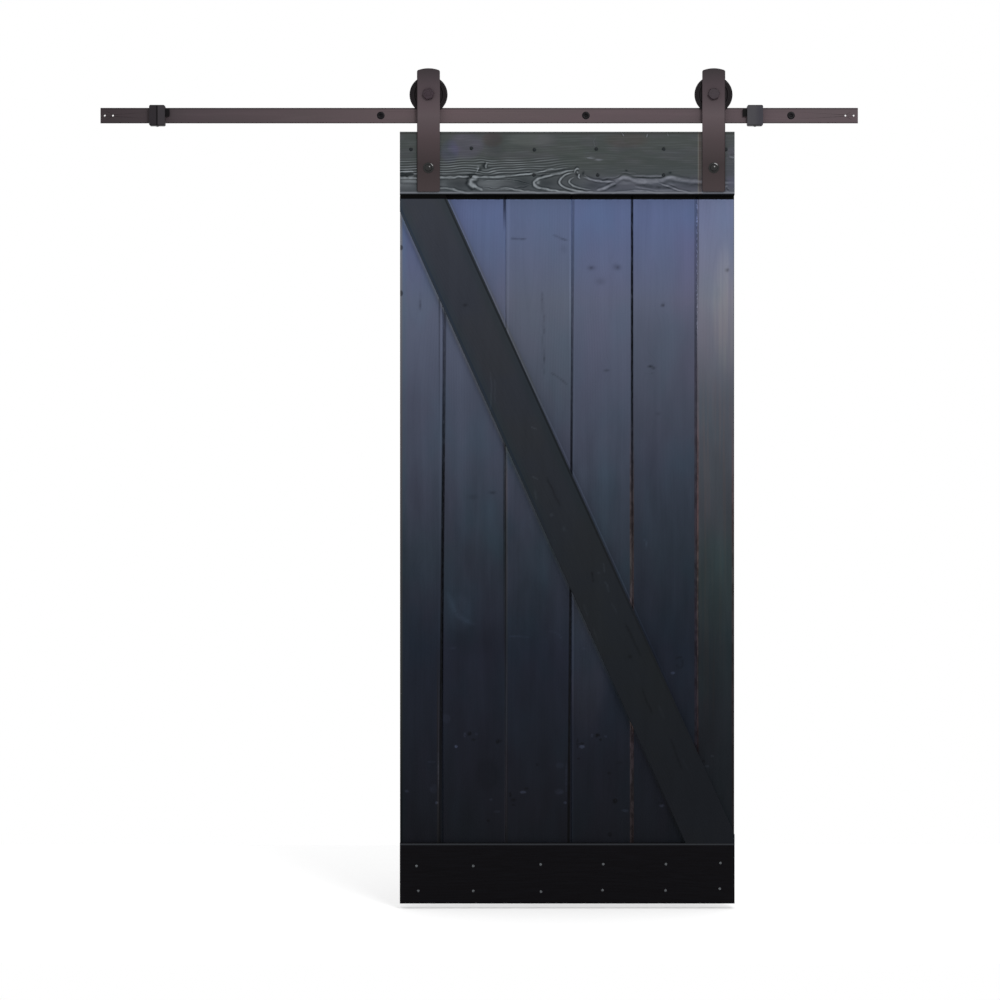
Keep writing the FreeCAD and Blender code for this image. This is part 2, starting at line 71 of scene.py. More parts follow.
class Wire:
    """A value in a finish. Arithmetic on it adds Math nodes."""

    def __init__(self, finish, socket):
        self.finish = finish
        self.socket = socket

    def __add__(self, other):
        return self.finish.math("ADD", self, other)

    def __radd__(self, other):
        return self.finish.math("ADD", other, self)

    def __sub__(self, other):
        return self.finish.math("SUBTRACT", self, other)

    def __rsub__(self, other):
        return self.finish.math("SUBTRACT", other, self)

    def __mul__(self, other):
        return self.finish.math("MULTIPLY", self, other)

    def __rmul__(self, other):
        return self.finish.math("MULTIPLY", other, self)

    def __truediv__(self, other):
        return self.finish.math("DIVIDE", self, other)

    def __neg__(self):
        return self.finish.math("MULTIPLY", self, -1)

    def __abs__(self):
        return self.finish.math("ABSOLUTE", self)

    def fraction(self):
        return self.finish.math("FRACT", self)

    def step(self, low, high):
        """0 below low, 1 above high, and a smooth rise between them. It falls where low is above high."""
        return self.finish.node("ShaderNodeMapRange", {"interpolation_type": "SMOOTHSTEP"},
                                {"Value": self, "From Min": low, "From Max": high})

    def band(self, middle, half, soft):
        """1 within half of the middle, and a smooth fall over soft outside that."""
        return abs(self - middle).step(half + soft, half)


class Finish:
    """One material, built around the Principled shader.

    A colour is written as it shows in white surroundings: what their gloss adds to it is taken off first.
    """

    def __init__(self, name, level, **constants):
        self.material = bpy.data.materials.new(name)
        self.material.use_nodes = True
        self.tree = self.material.node_tree
        self.shader = self.tree.nodes["Principled BSDF"]
        self.gloss = ROOM_GLOSS * level
        self.found = None
        constants["Specular_IOR_Level"] = level
        self.feed(self.shader, {key.replace("_", " "): value for key, value in constants.items()})

    def feed(self, node, inputs):
        """Sets or links the sockets of a node."""
        for key, value in inputs.items():
            if isinstance(value, Wire):
                self.tree.links.new(value.socket, node.inputs[key])
            else:
                node.inputs[key].default_value = value

    def node(self, kind, settings=None, inputs=None, output=0):
        """Adds a node: its settings first, then its sockets. Returns one of its outputs."""
        node = self.tree.nodes.new(kind)
        for key, value in (settings or {}).items():
            if key == "stops":
                ramp = node.color_ramp
                while len(ramp.elements) < len(value):
                    ramp.elements.new(1.0)
                for element, (at, colour) in zip(ramp.elements, value):
                    element.position = at
                for element, (at, colour) in zip(ramp.elements, value):
                    element.color = colour
            else:
                setattr(node, key, value)
        self.feed(node, inputs or {})
        return Wire(self, node.outputs[output])

    def math(self, operation, *terms):
        return self.node("ShaderNodeMath", {"operation": operation}, dict(enumerate(terms)))

    def place(self):
        return self.node("ShaderNodeTexCoord", output="Object")

    def axes(self):
        """X, Y and Z in metres."""
        if not self.found:
            place = self.place()
            self.found = [self.node("ShaderNodeSeparateXYZ", {}, {0: place}, k) for k in range(3)]
        return self.found

    def spot(self, x, z, reach_x, reach_z):
        """1 at a place on the front and 0 past an ellipse around it, in millimetres."""
        own_x, _, own_z = self.axes()
        far_x = (own_x - x * MM) / (reach_x * MM)
        far_z = (own_z - z * MM) / (reach_z * MM)
        return (far_x * far_x + far_z * far_z).step(1.0, 0.25)

    def noise(self, scale, detail, stretch=(1, 1, 1), shift=(0, 0, 0)):
        spread = self.node("ShaderNodeMapping", {},
                           {"Vector": self.place(), "Scale": stretch, "Location": shift})
        return self.node("ShaderNodeTexNoise", {}, {"Vector": spread, "Scale": scale, "Detail": detail})

    def attribute(self, name):
        return self.node("ShaderNodeAttribute", {"attribute_name": name}, output="Fac")

    def tone(self, code):
        """A colour as the shader needs it, from hex digits."""
        return tuple(max(part - self.gloss, 0.0005) for part in shade(code)[:3]) + (1.0,)

    def ramp(self, value, *stops):
        """Colours along a value. A stop is a place and hex digits."""
        return self.node("ShaderNodeValToRGB", {"stops": [(at, self.tone(code)) for at, code in stops]},
                         {"Fac": value})

    def level(self, value, *stops):
        """Numbers from 0 to 4 along a value. A stop is a place and a number."""
        greys = [(at, (number / 4,) * 3 + (1.0,)) for at, number in stops]
        return self.node("ShaderNodeValToRGB", {"stops": greys}, {"Fac": value}) * 4.0

    def blend(self, factor, one, other, mode="MIX"):
        colours = [self.tone(value) if isinstance(value, str) else value for value in (one, other)]
        return self.node("ShaderNodeMix", {"data_type": "RGBA", "blend_type": mode},
                         {0: factor, 6: colours[0], 7: colours[1]}, 2)

    def tint(self, factor, colour, red, green, blue):
        """The colour with each part times a number, where the factor is 1."""
        return self.blend(factor, colour, (red, green, blue, 1.0), "MULTIPLY")

    def scaled(self, colour, factor):
        """The colour times a number."""
        return self.node("ShaderNodeVectorMath", {"operation": "SCALE"}, {0: colour, "Scale": factor})

    def bump(self, height, far):
        """A normal from a height of 0 to 1 and the millimetres that 1 stands for."""
        return self.node("ShaderNodeBump", {}, {"Height": height, "Distance": far * MM, "Strength": 1.0})

    def done(self, colour, rough, normal):
        self.feed(self.shader, {"Base Color": colour, "Roughness": rough, "Normal": normal})
        return self.material


def smoothed(points):
    """A line with its corners cut twice: each side keeps its middle half, between the same ends."""
    line = np.asarray(points, float)
    for _ in range(2):
        near, far = line[:-1], line[1:]
        inner = np.stack([0.75 * near + 0.25 * far, 0.25 * near + 0.75 * far], 1).reshape(-1, 2)
        line = np.concatenate([line[:1], inner, line[-1:]])
    return line


def stroke(x, z, points, width, strength, flank):
    """A grain mark along a line.

    It is strength times (exp(-(d / w)^2) less flank times exp(-((d - 1.9 w) / 0.7 w)^2)), where d is the
    distance from the line, and w is the width, which narrows towards the line's ends.
    """
    line = smoothed(points)
    value = np.zeros(x.shape)
    low, high = line.min(0) - 4 * width, line.max(0) + 4 * width
    near = (x > low[0]) & (x < high[0]) & (z > low[1]) & (z < high[1])
    px, pz = x[near], z[near]
    sides = np.diff(line, axis=0)
    runs = np.hypot(*sides.T)
    begun = np.concatenate([[0.0], np.cumsum(runs)])
    far = np.full(px.shape, 1e9)
    place = np.zeros(px.shape)
    for start, side, run, before in zip(line, sides, runs, begun):
        t = np.clip(((px - start[0]) * side[0] + (pz - start[1]) * side[1]) / run ** 2, 0, 1)
        away = np.hypot(px - start[0] - t * side[0], pz - start[1] - t * side[1])
        place = np.where(away < far, (before + t * run) / begun[-1], place)
        far = np.minimum(far, away)
    taper = np.sqrt(np.clip(np.minimum(place, 1 - place) * 7, 0, 1))
    wide = width * (0.4 + 0.6 * taper)
    value[near] = strength * taper * (np.exp(-(far / wide) ** 2)
                                      - flank * np.exp(-((far - 1.9 * wide) / (0.7 * wide)) ** 2))
    return value


def grain_marks(x, z, strokes, spots, flank=0.0, seed=5):
    """Grain marks of -1, dark, to 1, pale, on a face that noise warps and breaks up.

    A stroke is a width, a strength and its points. A spot is a place, its two reaches and a strength.
    """
    x, z = x + 1.6 * mottle(x, z, 23, 19, seed), z + 1.3 * mottle(x, z, 31, 15, seed + 1)
    total = np.zeros(x.shape)
    for width, strength, *points in strokes:
        total += stroke(x, z, points, width, strength, flank)
    total *= 1 + 0.4 * mottle(x, z, 8, 5, seed + 2) + 0.2 * mottle(x, z, 3, 3, seed + 3)
    for spot_x, spot_z, reach_x, reach_z, strength in spots:
        total += strength * np.exp(-(((x - spot_x) / reach_x) ** 2 + ((z - spot_z) / reach_z) ** 2) ** 1.3)
    return np.clip(total, -1, 1)


def waver(place, step, seed):
    """Smooth noise of -1 to 1 along a line: random values a step apart, joined by smoothstep."""
    grid = np.random.default_rng(seed).uniform(-1, 1, 4096)
    cell = np.floor(place / step)
    part = place / step - cell
    part = part * part * (3 - 2 * part)
    index = cell.astype(int)
    return grid[index % 4096] * (1 - part) + grid[(index + 1) % 4096] * part


def mottle(across, along, step_across, step_along, seed):
    """Smooth noise of -1 to 1 on a face: random values on a grid of steps, joined by smoothstep both ways."""
    row = np.floor(across / step_across)
    part = across / step_across - row
    part = part * part * (3 - 2 * part)
    low = waver(along + row * 7919.0, step_along, seed)
    high = waver(along + (row + 1) * 7919.0, step_along, seed)
    return low * (1 - part) + high * part


def rings(across, along, pith, drop, spacing, knots, seed):
    """Growth rings on a sawn face and the knots in it.

    A ring's number is its distance from a wandering pith line, which lies a drop behind the face, over the
    spacing. Each knot (across, along, size) lifts that distance by a bell, so the rings part around it.
    """
    line = pith + 9 * waver(along, 420, seed) + 2.5 * waver(along, 130, seed + 1)
    far = np.sqrt((across - line) ** 2 + drop ** 2)
    mask = np.zeros_like(far)
    for knot_across, knot_along, size in knots:
        away = ((across - knot_across) / size) ** 2 + ((along - knot_along) / (1.9 * size)) ** 2
        far = far + 1.5 * size * np.exp(-away / 1.6)
        mask = np.maximum(mask, np.exp(-(away * 4.5) ** 2))
    return far / spacing, mask


def piece(name, points, faces, body, finish, replaces=(), marks=None, smooth=32):
    """A mesh whose points, in millimetres, hold its place, with its faces outwards, that rides on a body."""
    mesh = bpy.data.meshes.new(name)
    mesh.from_pydata((np.asarray(points) * MM).tolist(), [], faces)
    mesh.validate()
    mesh.calc_loop_triangles()
    spots = np.empty(len(mesh.vertices) * 3)
    mesh.vertices.foreach_get("co", spots)
    triangles = np.empty(len(mesh.loop_triangles) * 3, int)
    mesh.loop_triangles.foreach_get("vertices", triangles)
    a, b, c = spots.reshape(-1, 3)[triangles.reshape(-1, 3)].transpose(1, 0, 2)
    if np.einsum("ij,ij->i", a, np.cross(b, c)).sum() < 0:
        mesh.flip_normals()
    for key, values in (marks or {}).items():
        layer = mesh.attributes.new(key, "FLOAT", "POINT")
        layer.data.foreach_set("value", np.asarray(values, np.float32).ravel())
    mesh.shade_smooth()
    mesh.set_sharp_from_angle(angle=math.radians(smooth))
    mesh.materials.append(finish)
    obj = bpy.data.objects.new(name, mesh)
    bpy.context.scene.collection.objects.link(obj)
    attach(obj, body)
    if replaces:
        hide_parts(*replaces)
    return obj


def grid_faces(rows, columns, wrap_rows=False):
    """Quads of a grid that is closed along its columns, and along its rows where asked."""
    index = np.arange(rows * columns).reshape(rows, columns)
    below = np.roll(index, -1, 0) if wrap_rows else index[1:]
    here = index if wrap_rows else index[:-1]
    quads = np.stack([here, np.roll(here, -1, 1), np.roll(below, -1, 1), below], -1)
    return quads.reshape(-1, 4).tolist()


def carried(profile, start, end, stations, axes):
    """A closed profile carried along a line.

    A point is A u + B v + C (start + t (end - start)), where u and v are the profile's, t runs through the
    stations from 0 to 1, and start and end are lengths that may differ from point to point of the profile.
    """
    u, v = np.asarray(profile, float).T
    start, end = np.broadcast_to(start, u.shape), np.broadcast_to(end, u.shape)
    along = start + np.asarray(stations)[:, None] * (end - start)
    grid = sum(np.multiply.outer(part, axis) for part, axis in
               ((np.broadcast_to(u, along.shape), axes[0]), (np.broadcast_to(v, along.shape), axes[1]),
                (along, axes[2])))
    rows, columns = along.shape
    faces = grid_faces(rows, columns)
    faces.append(list(range(columns))[::-1])
    faces.append([columns * (rows - 1) + k for k in range(columns)])
    return grid.reshape(-1, 3), faces, along


def hexagon(angle, flats):
    """The distance from a hexagon's middle to its side at an angle: half its flats over the cosine of the
    angle to the nearest flat."""
    return flats / 2 / np.cos((angle % (math.pi / 3)) - math.pi / 6)


def turned(rows, centre, sides, axis="y", ring=False, turn=0.0):
    """Rows of (radius, height) about an axis; each may be a number or a function of the angle.

    A point is centre + radius (cos a, sin a) across the axis + height along it. Ends are closed by a flat
    cap, and a ring joins its last row to its first.
    """
    angle = np.arange(sides) * 2 * math.pi / sides
    radius, height = (np.array([np.broadcast_to(row[k](angle) if callable(row[k]) else row[k], angle.shape)
                                for row in rows], float) for k in (0, 1))
    one, other = radius * np.cos(angle + turn), radius * np.sin(angle + turn)
    parts = (one, height, other) if axis == "y" else (one, other, height)
    grid = np.stack(parts, -1) + np.asarray(centre, float)
    count = len(rows)
    faces = grid_faces(count, sides, wrap_rows=ring)
    if not ring:
        faces.append(list(range(sides)))
        faces.append([sides * (count - 1) + k for k in range(sides)][::-1])
    return grid.reshape(-1, 3), faces


def joined(parts):
    """Several grids of points and faces as one."""
    points, faces, count = [], [], 0
    for own_points, own_faces in parts:
        points.append(own_points)
        faces += [[k + count for k in face] for face in own_faces]
        count += len(own_points)
    return np.concatenate(points), faces


def eased(node, width, finish):
    """A CAD node with its doubles joined, its arrises broken by a bevel, and its finish."""
    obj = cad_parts[node]
    weld = obj.modifiers.new("weld", "WELD")
    weld.merge_threshold = 0.00002
    bevel = obj.modifiers.new("arris", "BEVEL")
    bevel.width = width * MM
    bevel.segments = 2
    bevel.limit_method = "ANGLE"
    bevel.angle_limit = math.radians(40)
    obj.data.materials.clear()
    obj.data.materials.append(finish)
    return obj


X, Y, Z = np.eye(3)


# The leaf: boards, ledges and brace.

# Colours up the leaf, from its foot, 0, to its head, 1: boards 1 to 5, and the last board. Each is the
# paint's colour with a painted sheen that grows paler and bluer towards the head.
LEAF_PAINT_AND_SHEEN = ((0.1, "191b20"), (0.33, "21252f"), (0.46, "2e353f"), (0.65, "464c5c"), (0.78, "575d71"),
               (0.89, "576385"))
LAST_PAINT_AND_SHEEN = ((0.2, "1d2024"), (0.33, "24282d"), (0.46, "333a3e"), (0.65, "4f515b"), (0.78, "6e6f7c"),
               (0.89, "67708d"))
# For each joint, its painted lines: where each begins and ends across it, half its width, its softness, and
# how much darker or lighter than the paint it is from the foot of the leaf, 0, to the top, 1. A darker line
# is the joint's dark gap with the vee's shade painted in. The lighter ones are painted light: highlights on
# the slopes, and light against the vee's own shade.
JOINTS = {
    1: ((-9.5, 9.5, 2.9, 2.8, ((0.1, 0.55), (0.28, 0.16), (0.55, 0.18), (0.76, 0.5))),
        (-9.8, -9.8, 1.0, 1.8, ((0.6, 1.0), (0.76, 0.6))),
        (-14.5, -1.0, 1.2, 1.8, ((0.05, 1.3), (0.16, 2.0), (0.3, 1.05), (0.76, 1.2)))),
    2: ((-3.2, -3.2, 2.4, 2.4, ((0.3, 1.0), (0.5, 0.4), (0.75, 1.0), (0.87, 1.0), (0.905, 0.3))),
        (-1.5, 9.5, 1.8, 2.2, ((0.05, 1.3), (0.16, 2.3), (0.34, 1.2), (0.9, 1.1)))),
    3: ((-9.5, 6.5, 2.2, 2.4, ((0.1, 0.2), (0.6, 0.28), (0.8, 0.55), (0.9, 0.7))),
        (1.5, 8.0, 1.6, 2.2, ((0.05, 1.3), (0.4, 1.6), (0.5, 1.1), (0.9, 1.0))),
        (-4.0, -4.0, 1.2, 1.8, ((0.66, 1.0), (0.8, 1.3), (0.9, 1.05)))),
    4: ((-0.4, -0.4, 2.2, 2.4, ((0.4, 1.0), (0.6, 0.25), (0.72, 0.12), (0.9, 0.13))),
        (-1.5, -1.5, 3.2, 3.0, ((0.05, 2.6), (0.2, 2.6), (0.4, 1.6), (0.5, 1.0)))),
    5: ((-3.6, -3.6, 2.2, 2.2, ((0.4, 1.0), (0.7, 0.46), (0.9, 0.7))),
        (3.4, 3.4, 1.6, 1.8, ((0.74, 1.0), (0.86, 0.5), (0.9, 0.7))),
        (0.6, 0.6, 1.4, 1.8, ((0.2, 1.8), (0.33, 2.0), (0.45, 1.2), (0.6, 1.0)))),
}
# Painted light beside the brace, from its edge outwards: it offsets the shade the brace casts on the boards.
PAINTED_LIGHT_BESIDE_BRACE = ((0.0, 2.3), (0.2, 1.95), (0.42, 1.5), (0.62, 1.25), (0.85, 1.12), (1.0, 1.0))
# Knots are (x, z, size). Spots and flecks are (x, z, reach, reach, strength or ratio) and strokes are
# (width, strength, points).
KNOTS = {
    1: ((-426, -1833, 7), (-407, -1879, 6), (-455, -1240, 8)),
    2: ((-363, -1456, 9), (-314, -1696, 10), (-345, -820, 7)),
    3: ((-180, -333, 6), (-178, -1849, 9), (-246, -1906, 8), (-150, -1100, 9)),
    4: ((14, -415, 12), (85, -415, 10), (44, -453, 9), (-8, -1726, 10), (33, -1696, 9), (57, -694, 9)),
    5: ((210, -516, 11), (178, -686, 11), (259, -1497, 10), (205, -1882, 11), (107, -1906, 9)),
    6: ((388, -423, 8), (352, -1320, 9)),
}
LEAF_SPOTS = (
    (176, -686, 7, 3, -0.9), (185, -691, 5, 4, -0.6), (182, -706, 4, 2, -0.4), (211, -518, 4, 5, -0.8),
    (14, -417, 12, 7, -0.35), (85, -414, 11, 9, -0.35), (14, -417, 4, 3, -0.3), (86, -415, 4, 4, -0.25),
    (40, -453, 13, 10, -0.25), (56, -697, 8, 4, -0.5), (198, -816, 7, 5, -0.25), (-320, -1692, 5, 5, -0.7),
    (-236, -1711, 5, 4, -0.7), (31, -1695, 5, 5, -0.7), (79, -1879, 6, 5, -0.7), (388, -423, 5, 5, -0.7),
    (-198, -1872, 7, 5, -0.7), (-300, -1425, 80, 45, -0.22), (-256, -1031, 9, 4, -0.5),
    (-309, -1043, 16, 7, -0.22), (8, -1500, 62, 190, 0.5), (-362, -1457, 7, 3, 0.6),
    (-172, -1853, 5, 3, 0.6), (-69, -1852, 5, 3, 0.6), (-5, -1457, 5, 3, 0.6), (-8, -1726, 5, 3, 0.6),
    (-356, -1726, 4, 3, 0.6), (238, -1525, 5, 3, 0.6), (-60, -364, 9, 12, -0.15), (111, -1904, 5, 3, 0.6),
    (208, -1888, 5, 3, 0.6), (217, -1789, 5, 3, 0.6), (-490, -1848, 4, 3, 0.6), (-421, -1844, 4, 3, 0.6),
)
LEAF_STROKES = (
    (2.2, 0.7, (-54, -1770), (-54, -1800), (-55, -1835)), (2.0, 0.6, (-405, -1740), (-404, -1800)),
    (7.0, 0.4, (-378, -1300), (-366, -1345), (-343, -1376), (-300, -1395)), (2.0, 0.6, (-211, -1424),
    (-153, -1426)), (1.9, 0.5, (-101, -1409), (-80, -1413), (-63, -1434)), (2.0, 0.5, (156, -1158),
    (168, -1168), (160, -1188)), (2.2, -0.5, (-92, -325), (-72, -333), (-49, -342)),
    (2.2, -0.4, (-97, -701), (-80, -712), (-62, -726), (-49, -737)), (2.4, -0.6, (-206, -335),
    (-162, -337)), (2.0, -0.5, (-118, -480), (-116, -600), (-117, -725)), (2.0, -0.5, (-452, -478),
    (-452, -540)), (1.9, -0.5, (246, -1496), (251, -1512), (262, -1510), (266, -1496), (261, -1482),
    (250, -1481), (245, -1494)),
)
FLECKS = {
    1: ((-490, -1848, 8, 5, 2.0), (-417, -1842, 14, 18, 1.4), (-408, -1880, 5, 5, 3.2),
        (-403, -1800, 3, 48, 1.5), (-422, -1768, 16, 4, 1.4)),
    2: ((-355, -1726, 5, 5, 3.8), (-331, -1694, 5, 8, 1.9), (-318, -1690, 7, 7, 0.45),
        (-308, -1707, 8, 5, 0.5), (-299, -1692, 6, 5, 1.6), (-242, -1712, 6, 9, 0.5),
        (-260, -1871, 6, 4, 1.8), (-243, -1904, 12, 5, 1.6), (-267, -1929, 5, 5, 0.5),
        (-269, -1802, 44, 60, 0.82), (-382, -1650, 16, 18, 1.35), (-344, -1362, 44, 70, 1.2)),
    3: ((-207, -1858, 5, 9, 0.45), (-198, -1886, 9, 4, 0.5), (-172, -1851, 11, 5, 2.7),
        (-163, -1841, 8, 4, 0.6), (-73, -1850, 18, 11, 1.5), (-57, -1880, 6, 5, 2.7),
        (-54, -1815, 3, 60, 1.5), (-71, -1778, 16, 11, 1.35), (-133, -1775, 8, 5, 0.7),
        (-150, -1360, 80, 130, 0.86)),
    4: ((32, -1696, 8, 7, 0.4), (17, -1696, 5, 6, 1.7), (54, -1698, 5, 5, 1.8), (40, -1708, 5, 5, 0.5),
        (-11, -1727, 10, 6, 2.5), (-12, -1718, 9, 4, 0.5), (-23, -1717, 4, 17, 0.6),
        (-20, -1759, 5, 4, 0.5), (64, -1799, 6, 5, 0.5), (92, -1771, 11, 5, 0.75), (80, -1874, 8, 7, 0.4),
        (107, -1901, 13, 5, 1.8), (66, -1967, 8, 8, 0.5)),
    5: ((208, -1888, 9, 5, 2.2), (203, -1881, 9, 4, 0.5), (217, -1789, 7, 5, 1.9), (238, -1525, 8, 5, 2.0)),
    6: ((322, -1767, 5, 5, 0.5), (331, -1780, 8, 4, 1.7), (346, -1752, 6, 4, 1.6)),
}
BRACE_STROKES = (
    (1.7, 0.7, (-151, -852), (-134, -859)), (1.7, 0.7, (-148, -986), (-132, -995)), (2.0, 0.5, (50, -1274),
    (63, -1287)), (2.0, 0.4, (-262, -700), (-258, -760), (-261, -810)), (1.8, 0.3, (-251, -720),
    (-248, -790)), (1.9, 0.6, (-140, -1024), (-134, -1050)), (1.9, 0.6, (46, -1222), (52, -1252)),
    (1.9, 0.5, (58, -1284), (64, -1304)), (2.6, -0.4, (14, -1246), (21, -1278)), (3.2, -0.35, (105, -1385),
    (128, -1430), (150, -1480)), (2.2, 0.3, (-8, -1335), (6, -1370)), (2.2, 0.3, (18, -1400), (34, -1436)),
    (2.6, -0.3, (-110, -985), (-70, -1070)), (2.2, 0.3, (70, -1330), (84, -1362)), (2.2, 0.3, (196, -1610),
    (214, -1652)), (2.6, -0.3, (150, -1560), (182, -1640)), (2.2, 0.3, (262, -1756), (280, -1790)),
    (2.6, -0.3, (230, -1700), (262, -1790)),
)
BRACE_SPOTS = (
    (-94, -1092, 5, 4, 0.6), (-61, -1130, 4, 6, 0.4), (34, -1251, 4, 3, 0.6), (-330, -520, 6, 5, -0.4),
    (120, -1480, 6, 5, -0.4),
)
LEDGE_STROKES = (
    (2.2, 0.8, (-517, -172), (-457, -174), (-398, -171), (-327, -168), (-264, -169), (-215, -168),
    (-165, -163), (-127, -155), (-84, -148), (-40, -140)), (5.4, 1.0, (-296, -169), (-312, -174),
    (-317, -184), (-312, -192), (-300, -198)), (3.0, 0.8, (-306, -194), (-294, -203), (-282, -207)),
    (1.2, -0.6, (-289, -177), (-252, -174), (-202, -177), (-165, -185), (-149, -191)),
    (1.2, -0.6, (-283, -199), (-233, -202), (-190, -199), (-152, -192)), (2.6, 0.9, (-22, -145),
    (-53, -154), (-90, -162), (-124, -171), (-142, -181), (-146, -189), (-137, -196), (-109, -204),
    (-71, -210), (-22, -215)), (2.4, 0.9, (-34, -155), (-59, -163), (-70, -172), (-74, -182), (-70, -192),
    (-53, -201), (-22, -209), (22, -212)), (2.0, 0.8, (-31, -169), (-43, -176), (-46, -184), (-39, -192),
    (-15, -201), (16, -207)), (2.0, 0.8, (-34, -158), (-31, -149), (-24, -145), (-16, -147)),
    (2.2, 0.9, (-17, -160), (-20, -168), (-15, -174)), (1.8, 0.5, (-27, -153), (-21, -157)),
    (1.8, 0.6, (-3, -166), (2, -170)), (2.6, 0.8, (-8, -171), (16, -177), (47, -183), (78, -182)),
    (4.4, 0.48, (60, -183), (78, -182), (92, -176), (103, -168), (114, -172), (134, -179), (171, -182),
    (203, -181), (216, -174), (229, -168), (243, -174), (271, -179), (308, -182), (358, -184), (405, -186)),
    (3.0, 0.8, (28, -207), (47, -202), (66, -192), (84, -185)), (2.2, 0.5, (66, -216), (97, -210),
    (140, -207), (184, -212), (221, -216)), (2.2, 0.7, (196, -185), (228, -195), (259, -206), (296, -216)),
    (2.4, 0.65, (-430, -199), (-402, -200), (-367, -201), (-337, -211), (-307, -214)),
    (2.4, 0.65, (-248, -205), (-227, -200), (-197, -202), (-155, -209), (-115, -214)),
    (1.6, 0.6, (100, -48), (103, -58)), (1.6, 0.6, (166, -50), (163, -60)), (1.6, 0.6, (223, -48),
    (224, -58)), (3.0, 0.3, (116, -165), (160, -167), (220, -165)), (1.8, 0.35, (96, -158), (140, -160)),
    (1.8, -0.4, (40, -178), (85, -172), (100, -163)), (2.2, -0.35, (140, -172), (190, -173), (215, -169)),
    (4.0, -0.5, (134, -191), (171, -196), (209, -199), (246, -196)), (1.2, 0.5, (-3, -115), (16, -118),
    (34, -121)), (1.0, 0.35, (25, -60), (23, -82), (28, -92)), (2.2, 1.0, (-271, -131), (-277, -138),
    (-272, -146)), (1.6, 0.6, (-294, -143), (-302, -160)), (4.0, -1.0, (-512, -163), (-490, -163),
    (-468, -162)), (1.3, 0.5, (-505, -155), (-480, -154), (-440, -151)), (4.5, 0.35, (-508, -179),
    (-470, -179), (-420, -181)), (2.4, 0.4, (377, -204), (381, -196), (390, -195)), (2.0, -0.5, (384, -203),
    (392, -206)), (3.0, 0.4, (394, -112), (404, -116)),
)
LEDGE_SPOTS = (
    (-26, -161, 4, 4, -0.7), (-7, -160, 4, 6, -0.8), (-281, -138, 5, 5, -0.9), (-290, -150, 5, 5, -0.8),
    (-297, -146, 4, 6, 0.6), (-131, -182, 6, 7, 0.7), (-138, -189, 9, 6, 0.5), (-497, -164, 16, 4, -1.0),
    (-505, -152, 9, 3, -0.8), (-488, -187, 26, 9, 0.3), (-250, -156, 14, 3, 0.35), (109, -152, 4, 3, -0.8),
    (231, -157, 4, 3, -0.8), (-262, -187, 40, 12, 0.25), (-345, -188, 26, 11, -0.4),
    (-172, -187, 20, 12, -0.45), (-108, -187, 26, 10, -0.4), (101, -172, 15, 6, 0.45),
    (228, -170, 15, 5, 0.45), (20, -194, 22, 9, -0.35), (-392, -188, 18, 10, 0.15), (12, -116, 13, 3, 0.3),
    (34, -123, 11, 3, 0.4), (-247, -80, 22, 34, -0.18), (75, -196, 12, 6, -0.4), (130, -185, 40, 5, 0.35),
    (300, -192, 40, 8, -0.3),
)

# Soft patches of another tint in the top ledge's stain: (x, z, reach, reach, amount, red, green, blue).
LEDGE_PATCHES = (
    (-328, -84, 56, 44, 1.0, 1.28, 1.14, 1.42), (-372, -100, 30, 40, 0.7, 0.96, 0.98, 1.3),
    (-255, -66, 34, 26, 1.0, 0.98, 0.84, 0.82), (-150, -64, 76, 26, 1.0, 1.32, 1.3, 1.3),
    (110, -68, 70, 26, 0.7, 1.05, 0.88, 0.84), (0, -120, 90, 40, 0.5, 0.92, 0.98, 0.92),
    (398, -140, 22, 70, 0.6, 1.25, 1.15, 1.4),
)


def brace_line():
    """The brace's upper end, its direction, the direction across it to the upper right, and its width."""
    start = np.array([LEAF_LEFT, LEDGE_UNDER - BRACE_HEEL])
    end = np.array([LEAF_RIGHT - BRACE_FOOT_TOE, LEDGE_OVER])
    along = (end - start) / np.linalg.norm(end - start)
    across = np.array([-along[1], along[0]])
    far = np.array([LEAF_LEFT + BRACE_TOE, LEDGE_UNDER]) - start
    return start, along, across, float(far @ across)


def painted_ledge_shadow(z):
    """1 in the painted shadow under the top ledge: a dark line on the boards and the brace."""
    return z.band((LEDGE_UNDER - 4.6) * MM, 5.2 * MM, 1.4 * MM)


